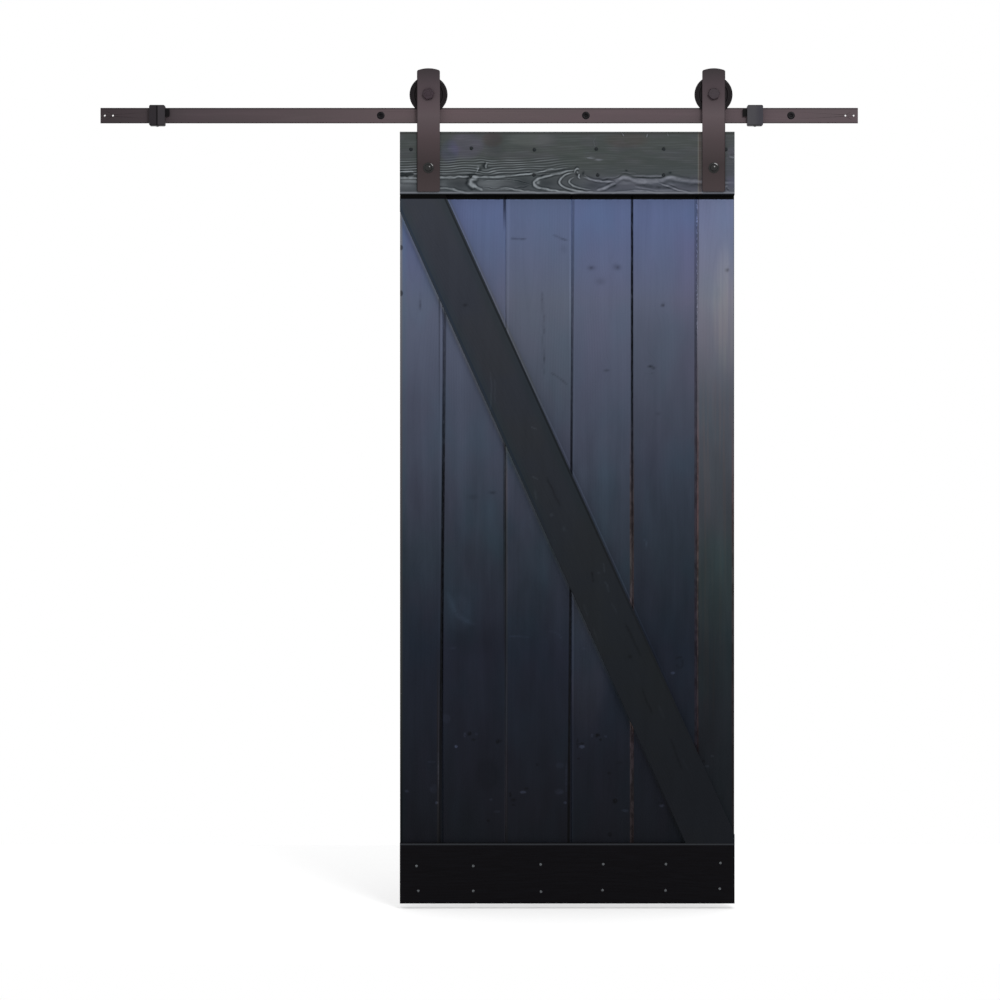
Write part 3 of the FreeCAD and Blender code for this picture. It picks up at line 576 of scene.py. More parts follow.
def board_finish(number):
    """Board paint: a ramp from pale blue at the head to near black at the foot, with streaks and clouds, in
    which a painted sheen lightens the paint towards the head.

    On the front come grain marks, flecks, bare wood, and lines of painted shade and painted highlight at the
    joints. There is also the painted shadow under the top ledge, painted light and pale painted lines beside
    the brace, and painted shade at the last board's right arris.
    """
    finish = Finish(f"board_{number}_paint", 0.06)
    x, y, z = finish.axes()
    height = (z - LEAF_FOOT * MM) / ((LEAF_TOP - LEAF_FOOT) * MM)
    # The ramp is the paint's colour with a painted sheen, paler and bluer towards the head.
    colour = finish.ramp(height, *(LAST_PAINT_AND_SHEEN if number == 6 else LEAF_PAINT_AND_SHEEN))
    cloud = finish.noise(5.0, 3.0, (1.6, 1, 0.8), (number * 0.7, 0, 0)).step(0.38, 0.66)
    deep = height.step(0.75, 0.45)
    colour = finish.tint(cloud * (0.5 + 0.5 * deep), colour, 1.05, 0.95, 0.98)
    cool = finish.noise(7.0, 2.0, (1.4, 1, 0.7), (0, 0, number * 0.9)).step(0.45, 0.7)
    colour = finish.tint(cool * (0.45 + 0.55 * deep), colour, 0.90, 1.04, 1.03)
    streak = finish.noise(55.0, 4.0, (1, 1, 0.018), (number * 1.3, 0, 0))
    plain = finish.scaled(colour, 1 + (streak - 0.5) * 0.3)
    if number == 3:
        colour = finish.tint(height.step(0.55, 0.7) * 0.6, colour, 0.99, 1.01, 0.88)
    if number == 4:
        colour = finish.tint(finish.spot(-4, -1490, 76, 230), colour, 1.3, 1.2, 1.1)
    if number == 5:
        colour = finish.tint(x.step(0.2, 0.29) * height.band(0.77, 0.07, 0.08), colour, 1.05, 0.98, 1.0)
        colour = finish.tint(height.band(0.46, 0.10, 0.10), colour, 0.8, 0.82, 0.83)
        colour = finish.tint(height.band(0.68, 0.05, 0.07), colour, 0.88, 0.9, 0.87)
    if number == 6:
        light = finish.spot(383, -530, 40, 210)
        fine = finish.noise(130.0, 2.0, (1, 1, 0.02)).step(0.42, 0.62)
        colour = finish.tint(light * (0.4 + 0.6 * fine), colour, 1.24, 1.22, 1.1)
        colour = finish.tint(height.band(0.58, 0.08, 0.06), colour, 0.91, 0.93, 0.92)
        colour = finish.tint(height.band(0.36, 0.05, 0.1) * 0.7, colour, 0.88, 1.07, 0.98)
        colour = finish.tint(fine * height.band(0.45, 0.16, 0.1) * 0.8, colour, 1.22, 1.06, 1.0)
        # Painted shade along the last board's right arris.
        colour = finish.scaled(colour, 1 - 0.4 * x.step((LEAF_RIGHT - 3.2) * MM, (LEAF_RIGHT - 1.6) * MM))
    ring = finish.attribute("rings").fraction()
    line = ring.step(0.55, 0.93) * ring.step(1.0, 0.95)
    mark = finish.attribute("mark")
    figure = finish.noise(24.0, 4.0, (1, 1, 0.25), (number * 2.1, 0, 0))
    factor = (1 + (streak - 0.5) * (0.11 + 0.18 * deep)) * (1 - 0.022 * line)
    factor = factor * (1 + (figure - 0.5) * (0.2 + 0.45 * deep))
    factor = factor * (1 + mark * (0.75 - 0.1 * mark))
    # Painted shadow under the top ledge.
    factor = factor * (1 - painted_ledge_shadow(z))
    broken = finish.noise(260.0, 2.0).step(0.32, 0.5)
    for place_x, place_z, reach_x, reach_z, ratio in FLECKS[number]:
        part = finish.spot(place_x, place_z, reach_x, reach_z)
        factor = factor * (1 + part * (broken if reach_x < 12 else part * (0.5 + 0.5 * broken)) * (ratio - 1))
    scuff = finish.noise(60.0, 2.0, (1, 1, 0.3)).step(0.35, 0.6)
    factor = factor * (1 + z.band((LEDGE_UNDER - 10.6) * MM, 0.8 * MM, 1.5 * MM) * scuff * 0.45)

    start, _, across, width = brace_line()
    from_edge = (x - start[0] * MM) * across[0] + (z - start[1] * MM) * across[1]
    # Painted light beside the brace, against the shade it casts.
    factor = factor * finish.level(abs(from_edge) / 0.012, *PAINTED_LIGHT_BESIDE_BRACE)
    colour = finish.tint(abs(from_edge).step(0.009, 0.003), colour, 1.06, 1.0, 0.84)
    beyond = (from_edge - width * MM).band(0.003, 0.003, 0.003)
    colour = finish.tint(beyond * height.step(0.6, 0.7), colour, 1.04, 1.0, 0.88)
    # Pale lines painted beside both edges of the brace: painted light.
    middle = (width + 5.4) * MM - height.step(0.58, 0.7) * 3.4 * MM
    for place, stops in ((middle, ((0.25, 1.0), (0.4, 1.6), (0.65, 1.35), (0.9, 1.3))),
                         (-6.5 * MM, ((0.2, 1.1), (0.4, 1.3), (0.58, 1.05)))):
        ratio = finish.level(height, *stops)
        factor = factor * (1 + from_edge.band(place, 0.9 * MM, 1.7 * MM) * (ratio - 1))
    rough_edge = finish.noise(240.0, 2.0, (1, 1, 0.25)).step(0.25, 0.6) * 0.3 + 0.8
    joint_x = LEAF_LEFT + sum(BOARD_WIDTHS[:number - 1])
    for joint, place in ((number - 1, joint_x), (number, joint_x + BOARD_WIDTHS[number - 1])):
        # Painted shade and painted highlights along the joint.
        for low, high, half, soft, stops in JOINTS.get(joint, ()):
            middle = (place + low) * MM + (high - low) * MM * height
            ratio = finish.level(height, *stops)
            factor = factor * (1 + x.band(middle, half * MM, soft * MM) * (ratio - 1) * rough_edge)
        # Painted light down the joint's middle, against the shade of the vee.
        if joint in JOINTS:
            factor = factor * (1 + (0.25 if joint == 5 else 0.42) * x.band(place * MM, 0.8 * MM, 1.8 * MM))
        if joint > 3:
            begins = 0.76 if joint == 5 else 0.66
            bare = x.band((place - 1) * MM, 4.4 * MM, 2.4 * MM) * height.step(begins, 0.48)
            colour = finish.tint(bare, colour, 1.46, 0.91, 0.66 if joint == 4 else 0.82)
            worn = finish.noise(110.0, 2.0, (1, 1, 0.4)).step(0.35, 0.62)
            factor = factor * (1 + bare * (worn - 0.6) * 0.6)
        if joint == 2:
            bare = x.band((place + 1) * MM, 3.0 * MM, 2.4 * MM) * height.step(0.66, 0.55)
            colour = finish.tint(bare, colour, 1.14, 0.97, 0.80)
        if joint == 1:
            bare = x.band((place - 12.6) * MM, 2.6 * MM, 2.4 * MM) * height.step(0.36, 0.24)
            colour = finish.tint(bare, colour, 1.2, 1.0, 0.8)
        if joint == 5:
            rope = finish.noise(330.0, 1.0, (1, 1, 0.5)).step(0.5, 0.66) * height.step(0.70, 0.77)
            factor = factor * (1 + x.band(place * MM, 1.4 * MM, 1.4 * MM) * rope * 1.2)
    if number == 1:
        edge = x.step((LEAF_LEFT + 8.4) * MM, (LEAF_LEFT + 4.4) * MM)
        green = x.step((LEAF_LEFT + 26) * MM, (LEAF_LEFT + 4) * MM)
        colour = finish.tint(green * 0.6, colour, 0.86, 1.1, 1.02)
        worn = finish.ramp(height, (0.13, "111315"), (0.3, "2f302f"), (0.6, "474549"), (0.86, "6c6e76"))
        colour = finish.blend(edge * 0.9, colour, worn)
        marks = finish.math("MAXIMUM", finish.spot(-506, -361, 7, 9), finish.spot(-506, -486, 7, 10))
        colour = finish.blend(marks * 0.7, colour, "121215")
    front = y.step((FACE + 4.4) * MM, (FACE + 3.4) * MM)
    colour = finish.blend(front, plain, finish.scaled(colour, factor))

    fine = finish.noise(900.0, 2.0, (1, 1, 0.06))
    soft = finish.noise(60.0, 3.0, (1, 1, 0.15))
    rough = 0.42 + 0.12 * soft + 0.08 * line
    relief = 0.4 * line + 0.25 * fine + 0.5 * soft + 0.4 * mark
    return finish.done(colour, rough, finish.bump(relief, 0.28))


def board_section(number, left):
    """Half the leaf's boards differ only in their sides: vee, tongue and groove, as (x, y), anticlockwise."""
    right = left + BOARD_WIDTHS[number - 1] - (0.4 if number < 6 else 0.0)
    vee, half, middle = VEE, 3.5, (FACE + BACK) / 2
    face_left = left + (vee if number > 1 else 1.2)
    face_right = right - (vee if number < 6 else 1.2)
    across = max(16, int((face_right - face_left) / 5))
    front = [(x, FACE) for x in np.linspace(face_left, face_right, across)]
    if number < 6:
        tip = right + 8
        side = [(right - vee * 0.66, FACE + vee * 0.30), (right - vee * 0.33, FACE + vee * 0.64),
                (right, FACE + vee), (right, middle - half), (tip - 1, middle - half),
                (tip, middle - half + 1), (tip, middle + half - 1), (tip - 1, middle + half),
                (right, middle + half), (right, BACK + 0.6)]
    else:
        side = [(right, FACE + 1.2), (right, middle), (right, BACK + 0.6)]
    back = [(x, BACK) for x in np.linspace(right - 0.6, left + 0.6, 12)]
    if number > 1:
        deep = left + 7.8
        other = [(left, BACK - 0.6), (left, middle + half + 0.2), (deep, middle + half + 0.2),
                 (deep, middle - half - 0.2), (left, middle - half - 0.2), (left, FACE + vee),
                 (left + vee * 0.33, FACE + vee * 0.64), (left + vee * 0.66, FACE + vee * 0.30)]
    else:
        other = [(left, BACK - 0.6), (left, middle), (left, FACE + 1.2)]
    return np.array(front + side + back + other), left, right


def make_boards():
    """Six vee-jointed boards, each a section carried up the leaf, with a face that is cupped, planed in waves
    and lifted a little at its grain."""
    left = LEAF_LEFT
    for number in range(1, 7):
        section, edge_left, edge_right = board_section(number, left)
        length = LEAF_TOP - LEAF_FOOT
        stations = np.concatenate([[0.0, 0.0004], np.linspace(0.0012, 0.9988, 620), [0.9996, 1.0]])
        points, faces, _ = carried(section, 0.0, length, stations, (X, Y, Z))
        points = points + Z * LEAF_FOOT
        x, y, z = points.T.reshape(3, len(stations), -1)
        on_front = np.clip((BACK - y) / (BACK - FACE), 0, 1) ** 6
        middle, half = (edge_left + edge_right) / 2, (edge_right - edge_left) / 2
        u = np.clip((x - middle) / half, -1, 1)
        ring, knot = rings(x, z, middle + 0.35 * half * (-1) ** number, 30 + 22 * waver(z, 800, number * 11),
                           6.5, KNOTS[number], 40 + number)
        vee_depth = np.where(y > FACE + 0.05, np.clip((y - FACE) / VEE, 0, 1), 0) * (np.abs(u) > 0.8)
        wave = 0.10 * mottle(x, z, 60, 300, number) + 0.05 * mottle(x, z, 18, 70, number + 9)
        hollow = 0.25 * (1 - u ** 2) * waver(z, 900, number + 5)
        worn = 0.25 * mottle(x, z, 8, 24, number + 31) * (vee_depth > 0) * (vee_depth < 0.9)
        y = y + on_front * (wave + hollow + 0.15 * knot) + worn
        end = np.minimum(z - LEAF_FOOT, LEAF_TOP - z)
        y = y + on_front * np.clip(0.9 - end, 0, 0.9)
        points = np.stack([x, y, z], -1).reshape(-1, 3)
        marks = {"rings": ring, "mark": on_front * grain_marks(x, z, LEAF_STROKES, LEAF_SPOTS)}
        board = piece(f"leaf_board_{number}", points, faces, "door", board_finish(number),
                      [f"board_{number}"], marks)
        if number in (1, 6):
            sink_nut(board, HANGERS["left" if number == 1 else "right"])
        left += BOARD_WIDTHS[number - 1]


def sink_nut(board, x):
    """Cuts the round sink for a bolt's nut in a board's back with a Boolean, which is applied."""
    points, faces = turned([(14.5, BACK - 11), (14.5, BACK + 5)], (x, 0, BOLT_Z), 48)
    mesh = bpy.data.meshes.new("sink")
    mesh.from_pydata((points * MM).tolist(), [], faces)
    cutter = bpy.data.objects.new("sink", mesh)
    bpy.context.scene.collection.objects.link(cutter)
    cut = board.modifiers.new("sink", "BOOLEAN")
    cut.object = cutter
    cut.operation = "DIFFERENCE"
    cut.solver = "EXACT"
    bpy.context.view_layer.update()
    shaped = bpy.data.meshes.new_from_object(board.evaluated_get(bpy.context.evaluated_depsgraph_get()))
    board.modifiers.clear()
    board.data = shaped
    bpy.data.objects.remove(cutter)


def plank_section(depth_low, depth_high, low, high, arris, across_points):
    """A plank's section as (depth, across): its face at depth_low has rounded arrises, its back is square."""
    turn = np.linspace(0, math.pi / 2, 4)
    front = [(depth_low, v) for v in np.linspace(high - arris, low + arris, across_points)]
    lower = [(depth_low + arris * (1 - math.cos(t)), low + arris * (1 - math.sin(t))) for t in turn[1:]]
    back = [(depth_high, v) for v in np.linspace(low, high, 6)]
    upper = [(depth_low + arris * (1 - math.sin(t)), high - arris * (1 - math.cos(t))) for t in turn[:-1]]
    return np.array(front + lower + back + upper)


def make_plank(name, node, finish, section, start, end, rows, axes, origin, arris, marks):
    """A plank with its relief and eased ends: the face draws back near an end along a quarter round."""
    near = np.array([0.0, 0.3, 1.0]) * arris / float(np.mean(np.asarray(end) - start))
    stations = np.concatenate([near, np.linspace(near[-1] * 1.5, 1 - near[-1] * 1.5, rows), 1 - near[::-1]])
    points, faces, along = carried(section, start, end, stations, axes)
    count = len(stations)
    points = points + origin
    grid = points.reshape(count, -1, 3)
    depth = np.broadcast_to(section[:, 0], (count, len(section)))
    across = np.broadcast_to(section[:, 1], (count, len(section)))
    front = np.clip((BACK - 20 - depth) / (BACK - 20 - LEDGE_FACE), 0, 1) ** 4
    from_end = np.minimum(along - np.asarray(start), np.asarray(end) - along)
    drop = arris - np.sqrt(np.clip(arris ** 2 - np.clip(arris - from_end, 0, arris) ** 2, 0, None))
    layers, relief = marks(across, along)
    grid = grid + (front * (relief + drop))[..., None] * Y
    layers["arris"] = front * np.clip(1 - from_end / 3, 0, 1)
    return piece(name, grid.reshape(-1, 3), faces, "door", finish, [node], layers)


def top_ledge_finish():
    """Grey-green stain with tinted patches and pale and dark grain, a brown band and a painted highlight
    beside the right strap, painted shade along the upper arris and at the foot, and a painted highlight along
    the lower arris.
    """
    finish = Finish("top_ledge_stain", 0.07)
    x, _, z = finish.axes()
    down = (LEAF_TOP * MM - z) / ((LEAF_TOP - LEDGE_UNDER) * MM)
    ground = finish.ramp(down, (0.1, "494d4c"), (0.5, "464a4a"), (0.85, "4a4e52"))
    patch = finish.noise(24.0, 3.0, (0.7, 1, 1.4), (3, 0, 1)).step(0.46, 0.60)
    ground = finish.tint(patch * down.step(0.6, 0.35) * 0.6, ground, 1.14, 1.06, 1.17)
    cloud = finish.noise(14.0, 3.0, (0.8, 1, 1.6)).step(0.42, 0.62)
    ground = finish.tint(cloud * 0.5, ground, 0.86, 0.92, 0.92)
    wave = finish.math("SINE", finish.attribute("rings") * (2 * math.pi))
    mark = finish.attribute("mark") + wave * finish.attribute("weight")
    low = down.step(0.66, 0.78) * x.step(-0.04, 0.05)
    ground = finish.tint(low * 0.75, ground, 1.3, 1.22, 1.42)
    for spot_x, spot_z, reach_x, reach_z, amount, *colours in LEDGE_PATCHES:
        ground = finish.tint(finish.spot(spot_x, spot_z, reach_x, reach_z) * amount, ground, *colours)
    # Beside the right strap, a brown band painted as the strap's edge and a pale line as a painted highlight.
    beside = (HANGERS["right"] - STRAP_HALF) * MM
    ground = finish.blend(x.band(beside - 5.4 * MM, 3.0 * MM, 2.0 * MM) * 0.6, ground, "524844")
    ground = finish.blend(x.band(beside - 10.6 * MM, 0.8 * MM, 1.5 * MM) * 0.6, ground, "6e6c67")
    pale = finish.blend(x.step(-0.04, 0.04), "8a9095", "82858f")
    ground = finish.blend(finish.math("MAXIMUM", mark, 0.0), ground, pale)
    ground = finish.blend(finish.math("MAXIMUM", -mark, 0.0), ground, "1f2427")
    # Painted shade along the upper arris, a painted highlight along the lower arris, and painted shade, near
    # black, along the foot of the face.
    ground = finish.blend(z.band((LEAF_TOP - 5.5) * MM, 0.9 * MM, 1.4 * MM) * 0.8, ground, "383937")
    ground = finish.blend(z.band((LEDGE_UNDER + 6.8) * MM, 1.2 * MM, 1.6 * MM) * 0.8, ground, "787b82")
    ground = finish.blend(z.step((LEDGE_UNDER + 4.0) * MM, (LEDGE_UNDER + 2.6) * MM), ground, "030304")
    fine = finish.noise(420.0, 2.0, (0.05, 1, 1))
    ground = finish.scaled(ground, 0.88 + 0.08 * fine)
    rough = 0.58 + 0.16 * fine
    return finish.done(ground, rough, finish.bump(0.5 * fine + 0.6 * mark, 0.3))


def bottom_ledge_finish():
    """Near-black stain with a painted highlight: a pale line along the upper arris."""
    finish = Finish("bottom_ledge_stain", 0.04)
    _, _, z = finish.axes()
    fine = finish.noise(300.0, 3.0, (0.05, 1, 1))
    colour = finish.blend(fine.step(0.4, 0.65) * 0.4, "131214", "17171a")
    part = finish.attribute("rings").fraction()
    colour = finish.blend(part.step(0.7, 0.95) * 0.15, colour, "0c0c0d")
    # Painted highlight along the upper arris.
    colour = finish.blend(z.band((LEDGE_OVER - 2.8) * MM, 1.3 * MM, 1.6 * MM) * 0.9, colour, "34363a")
    return finish.done(colour, 0.62 + 0.12 * fine, finish.bump(0.6 * fine + 0.4 * part, 0.3))


def brace_finish():
    """Charcoal paint under a painted sheen that lightens it towards the head, with painted shade in a dark
    line and a darker tint inside its upper edge, and the painted shadow under the top ledge.
    """
    finish = Finish("brace_paint", 0.05)
    x, _, z = finish.axes()
    height = (z - LEAF_FOOT * MM) / ((LEAF_TOP - LEAF_FOOT) * MM)
    # The ramp is the paint's colour with a painted sheen towards the head.
    colour = finish.ramp(height, (0.134, "1c1e22"), (0.33, "202327"), (0.458, "24272c"), (0.588, "2a2d33"),
                         (0.782, "31343c"), (0.892, "373a42"))
    warm = finish.noise(6.0, 3.0).step(0.4, 0.65)
    colour = finish.tint(warm * 0.6, colour, 1.06, 1.02, 0.92)
    part = finish.attribute("rings").fraction()
    mark = finish.attribute("mark")
    start, _, across, width = brace_line()
    from_edge = (x - start[0] * MM) * across[0] + (z - start[1] * MM) * across[1]
    # The last term paints the shadow under the top ledge.
    factor = (1 - part.step(0.6, 0.95) * 0.03) * (1 + mark * (0.95 - 0.2 * mark)) * (1 - painted_ledge_shadow(z))
    # Painted shade: a dark line inside the upper edge.
    ratio = finish.level(height, (0.15, 1.0), (0.35, 0.78), (0.5, 0.55), (0.88, 0.48))
    middle = (width - 3.6) * MM - height.step(0.7, 0.85) * 2.0 * MM
    factor = factor * (1 + from_edge.band(middle, 1.6 * MM, 1.6 * MM) * (ratio - 1))
    high = height.step(0.42, 0.56)
    colour = finish.tint(from_edge.step(0.034, 0.008) * high * 0.8, colour, 0.88, 1.03, 1.0)
    colour = finish.tint(from_edge.band(5.6 * MM, 1.6 * MM, 2.2 * MM) * high, colour, 0.74, 0.84, 0.97)
    # Painted shade: a darker tint inside the upper edge.
    upper = from_edge.step((width - 34) * MM, (width - 12) * MM)
    colour = finish.tint(upper * high * 0.8, colour, 0.82, 0.93, 0.9)
    streak = finish.noise(40.0, 3.0, (1, 1, 0.1))
    factor = factor * (1 + (streak - 0.5) * 0.25)
    fine = finish.noise(500.0, 2.0)
    normal = finish.bump(0.4 * fine + 0.6 * part, 0.25)
    return finish.done(finish.scaled(colour, factor), 0.6 + 0.15 * fine, normal)


def make_front_frame():
    """Top and bottom ledges, and the brace, whose ends are cut to the ledges and the leaf's sides."""

    def top_marks(across, along):
        drift, lift = 2.4 * mottle(along, across, 17, 9, 71), 1.5 * mottle(along, across, 12, 8, 72)
        mark = grain_marks(along + drift, across + lift, LEDGE_STROKES, LEDGE_SPOTS, 0.7, 61)
        knot = np.exp(-((along + 278 + 0.4 * (across + 141)) / 19) ** 2) * np.tanh((across + 141) / 6) * 5
        slope = 7 * np.interp(along, [-508, -200, 0], [0, 0.5, 2.5])
        rise = across - knot - slope + 2.6 * mottle(along, across, 55, 24, 3)
        window = np.interp(across, [-170, -162, -128, -114], [0, 1, 0.7, 0])
        window = window * np.interp(along, [-130, -20], [1, 0])
        faint = 0.05 * np.interp(across, [-170, -150, -90, -50], [0, 1, 1, 0.3])
        weight = (0.68 * window + faint) * (0.7 + 0.5 * mottle(along, across, 26, 5, 21))
        mark = mark + 0.06 * mottle(along, across, 34, 4, 33)
        relief = 0.12 * mottle(across, along, 14, 120, 5)
        return {"mark": np.clip(mark, -1, 1), "rings": rise / 6.8, "weight": weight}, relief

    def plain_marks(seed, pith, place=None):
        def marks(across, along):
            ring, _ = rings(across, along, pith, 26 + 20 * waver(along, 500, seed), 7.0, [], seed)
            layers = {"rings": ring}
            if place:
                layers["mark"] = grain_marks(*place(across, along), BRACE_STROKES, BRACE_SPOTS)
            return layers, 0.12 * mottle(across, along, 16, 130, seed)
        return marks

    ledge_axes = (Y, Z, X)
    section = plank_section(LEDGE_FACE, FACE, LEDGE_UNDER, LEAF_TOP, 1.0, 106)
    make_plank("ledge_top", "top_ledge", top_ledge_finish(), section, LEAF_LEFT,
               LEAF_RIGHT, 570, ledge_axes, 0, 1.0, top_marks)
    section = plank_section(LEDGE_FACE, FACE, LEAF_FOOT, LEDGE_OVER, 1.0, 40)
    make_plank("ledge_bottom", "bottom_ledge", bottom_ledge_finish(), section,
               LEAF_LEFT, LEAF_RIGHT, 220, ledge_axes, 0, 1.0, plain_marks(17, -2060))

    start, along, across, width = brace_line()
    section = plank_section(LEDGE_FACE, FACE, 0.0, width, 1.0, 44)
    v = section[:, 1]
    sides = np.array([LEAF_LEFT, LEAF_RIGHT]), np.array([LEDGE_UNDER, LEDGE_OVER])
    reach = [np.stack([(sides[0][k] - start[0] - v * across[0]) / along[0],
                       (sides[1][k] - start[1] - v * across[1]) / along[1]]) for k in (0, 1)]
    spread = lambda pair: X * pair[0] + Z * pair[1]
    place = lambda far, run: [start[k] + run * along[k] + far * across[k] for k in (0, 1)]
    make_plank("brace_board", "brace", brace_finish(), section, reach[0].max(0),
               reach[1].min(0), 560, (Y, spread(across), spread(along)), spread(start), 1.0,
               plain_marks(29, 70, place))


# The nails in the ledges, as (x, z).

NAILS = {
    "top": ((-478, -94), (-313, -91), (-141, -95), (28, -93), (212, -93), (382, -94),
            (-489, -164), (-315, -167), (-142, -164), (32, -164), (212, -164)),
    "bottom": ((-463, -2051), (-308, -2051), (-124, -2047), (47, -2046), (218, -2046), (367, -2043),
               (-458, -2119), (-308, -2119), (-123, -2121), (45, -2117), (217, -2118), (365, -2113)),
}


def nail_finish(name, colour, worn, level):
    """A nail head's colour, worn in spots."""
    finish = Finish(name, level)
    spots = finish.noise(700.0, 3.0).step(0.4, 0.65)
    return finish.done(finish.blend(spots, colour, worn), 0.5 + 0.2 * spots, finish.bump(spots, 0.15))


def make_nails():
    """Hammered nail heads: a low dome whose radius has a few flats, the same turned shape at each place."""
    kinds = {"top": (5.0, nail_finish("nail_dark", "1d2123", "2c3133", 0.2)),
             "bottom": (3.6, nail_finish("nail_bare", "4a4c4f", "6c6f72", 0.25))}
    for place, spots in NAILS.items():
        radius, finish = kinds[place]
        heads = []
        for number, (x, z) in enumerate(spots):
            dent = lambda a, n=number: radius * (1 + 0.06 * np.sin(3 * a + n) + 0.04 * np.sin(5 * a + 2 * n))
            rows = [(dent, LEDGE_FACE + 0.4), (dent, LEDGE_FACE - 0.6),
                    (lambda a: 0.82 * dent(a), LEDGE_FACE - 1.2), (lambda a: 0.4 * dent(a), LEDGE_FACE - 1.5)]
            heads.append(turned(rows, (x, 0, z), 20))
        points, faces = joined(heads)
        piece(f"nails_{place}", points, faces, "door", finish, smooth=50)


# The rail, its fixings and its stops.


def powder(finish, scale=600.0, far=0.12):
    """The fine grain of a powder coat, and a normal from it."""
    grain = finish.noise(scale, 2.0)
    return grain, finish.bump(grain, far)


def rail_finish():
    """Bronze powder coat, darker at its left end, with painted shade along both edges, and rubbed in streaks.
    """
    finish = Finish("rail_bronze", 0.10)
    x, _, z = finish.axes()
    run = (x - RAIL_LEFT * MM) / ((RAIL_RIGHT - RAIL_LEFT) * MM)
    colour = finish.ramp(run, (0.005, "3d3739"), (0.12, "4b4346"), (0.45, "5d5254"), (0.75, "574d50"))
    tone = finish.noise(7.0, 3.0, (1, 1, 4)).step(0.35, 0.65)
    colour = finish.tint(tone * 0.5, colour, 1.06, 0.98, 1.03)
    rub = finish.noise(30.0, 4.0, (0.15, 1, 3.0)).step(0.5, 0.75)
    # Painted shade along the rail's top and bottom edges.
    factor = (1 + 0.12 * rub) * (1 - 0.5 * z.step(0.0155, 0.0185)) * (1 - 0.45 * z.step(-0.0165, -0.0200))
    grain, normal = powder(finish)
    return finish.done(finish.scaled(colour, factor), 0.42 + 0.12 * grain + 0.08 * rub, normal)


def stop_finish(side):
    """Slate coat, with painted shade at its top and bottom edges. A dark line is painted down the left one's
    middle.
    """
    finish = Finish(f"stop_{side}_slate", 0.08)
    x, _, z = finish.axes()
    centre = STOPS[side] * MM
    if side == "left":
        colour = finish.blend(x.step(centre - 0.001, centre + 0.001), "2f2c2f", "3b383b")
        colour = finish.blend(x.band(centre, 0.0014, 0.0014) * 0.85, colour, "121112")
    else:
        colour = finish.blend(x.step(centre + 0.014, centre - 0.004), "3d3c42", "464549")
    cloud = finish.noise(45.0, 3.0).step(0.35, 0.65)
    colour = finish.tint(cloud * 0.6, colour, 1.1, 1.08, 1.08)
    # Painted shade at the top and bottom edges.
    colour = finish.scaled(colour, (1 - 0.5 * z.step(-0.024, -0.028)) * (1 - 0.35 * z.step(0.023, 0.027)))
    grain, normal = powder(finish)
    return finish.done(colour, 0.45 + 0.12 * grain, normal)


def rubber_finish():
    """Black rubber with a fine grain."""
    finish = Finish("bumper_rubber", 0.08)
    grain, normal = powder(finish, 1400.0, 0.2)
    return finish.done(finish.blend(grain, "141314", "1f1e1f"), 0.6 + 0.15 * grain, normal)


def black_finish(name, colour, worn, level):
    """Black oxide or dark coat on steel, with a fine turned mottle."""
    finish = Finish(name, level)
    spots = finish.noise(420.0, 3.0).step(0.4, 0.7)
    _, normal = powder(finish, 900.0, 0.08)
    return finish.done(finish.blend(spots, colour, worn), 0.34 + 0.16 * spots, normal)


def door_bolt_finish():
    """Polished black oxide. Its glints come from the lamp and the white surroundings."""
    finish = Finish("fixing_black", 0.4)
    spots = finish.noise(420.0, 3.0).step(0.4, 0.7)
    _, normal = powder(finish, 900.0, 0.03)
    return finish.done(finish.blend(spots, "262425", "2c2a2b"), 0.1 + 0.06 * spots, normal)


def axle_finish():
    """Dark bronze coat, smoother than the straps'. The right one has painted shade, a little darker."""
    finish = Finish("bolt_bronze", 0.3)
    x, _, _ = finish.axes()
    spots = finish.noise(300.0, 3.0).step(0.35, 0.65)
    colour = finish.blend(spots, "31282d", "3c3238")
    # Painted shade: the right head a little darker.
    colour = finish.tint(x.step(0.1, 0.2), colour, 0.82, 0.84, 0.84)
    _, normal = powder(finish, 900.0, 0.08)
    return finish.done(colour, 0.34 + 0.12 * spots, normal)


def make_lag_screws(finish):
    """Countersunk screws: a flat head with a six-sided socket, a smooth neck, and a thread whose radius rises
    and falls with the height over the pitch less the angle, down to a point."""
    for number, x in enumerate(SCREWS, 1):
        rows = [(1.0, -34.4), (lambda a: hexagon(a, 7.6), -34.2), (lambda a: hexagon(a, 8.0), -37.8),
                (lambda a: hexagon(a, 8.8), -38.0), (10.2, -38.0), (10.7, -37.7), (10.7, -37.3), (5.3, -32.2),
                (5.0, -31.8), (5.0, 3.0)]
        for height in np.arange(4.0, 60.0, 0.45):
            taper = min(1.0, (60.3 - height) / 10)
            ridge = lambda a, h=height, t=taper: t * (4.0 + 1.6 * np.clip(
                1 - np.abs(((h / THREAD_PITCH - a / (2 * math.pi)) % 1) - 0.5) / 0.3, 0, 1))
            rows.append((ridge, height))
        points, faces = turned(rows, (x, 0, 0), 48)
        piece(f"wall_screw_{number}", points, faces, "track", finish, [f"lag_screw_{number}"])


def make_stop_screws(finish):
    """A socket screw under each stop, which stands 1.8 mm proud of its underside."""
    rows = [(0.6, -28.1), (lambda a: hexagon(a, 2.9), -28.1), (lambda a: hexagon(a, 3.1), -30.0),
            (2.8, -30.3), (3.0, -30.1), (3.0, -21.3)]
    points, faces = joined([turned(rows, (x, RAIL_MIDDLE, 0), 36, "z") for x in STOPS.values()])
    piece("stop_screws", points, faces, "track", finish)


# The hangers: strap, wheel, axle and door bolt.


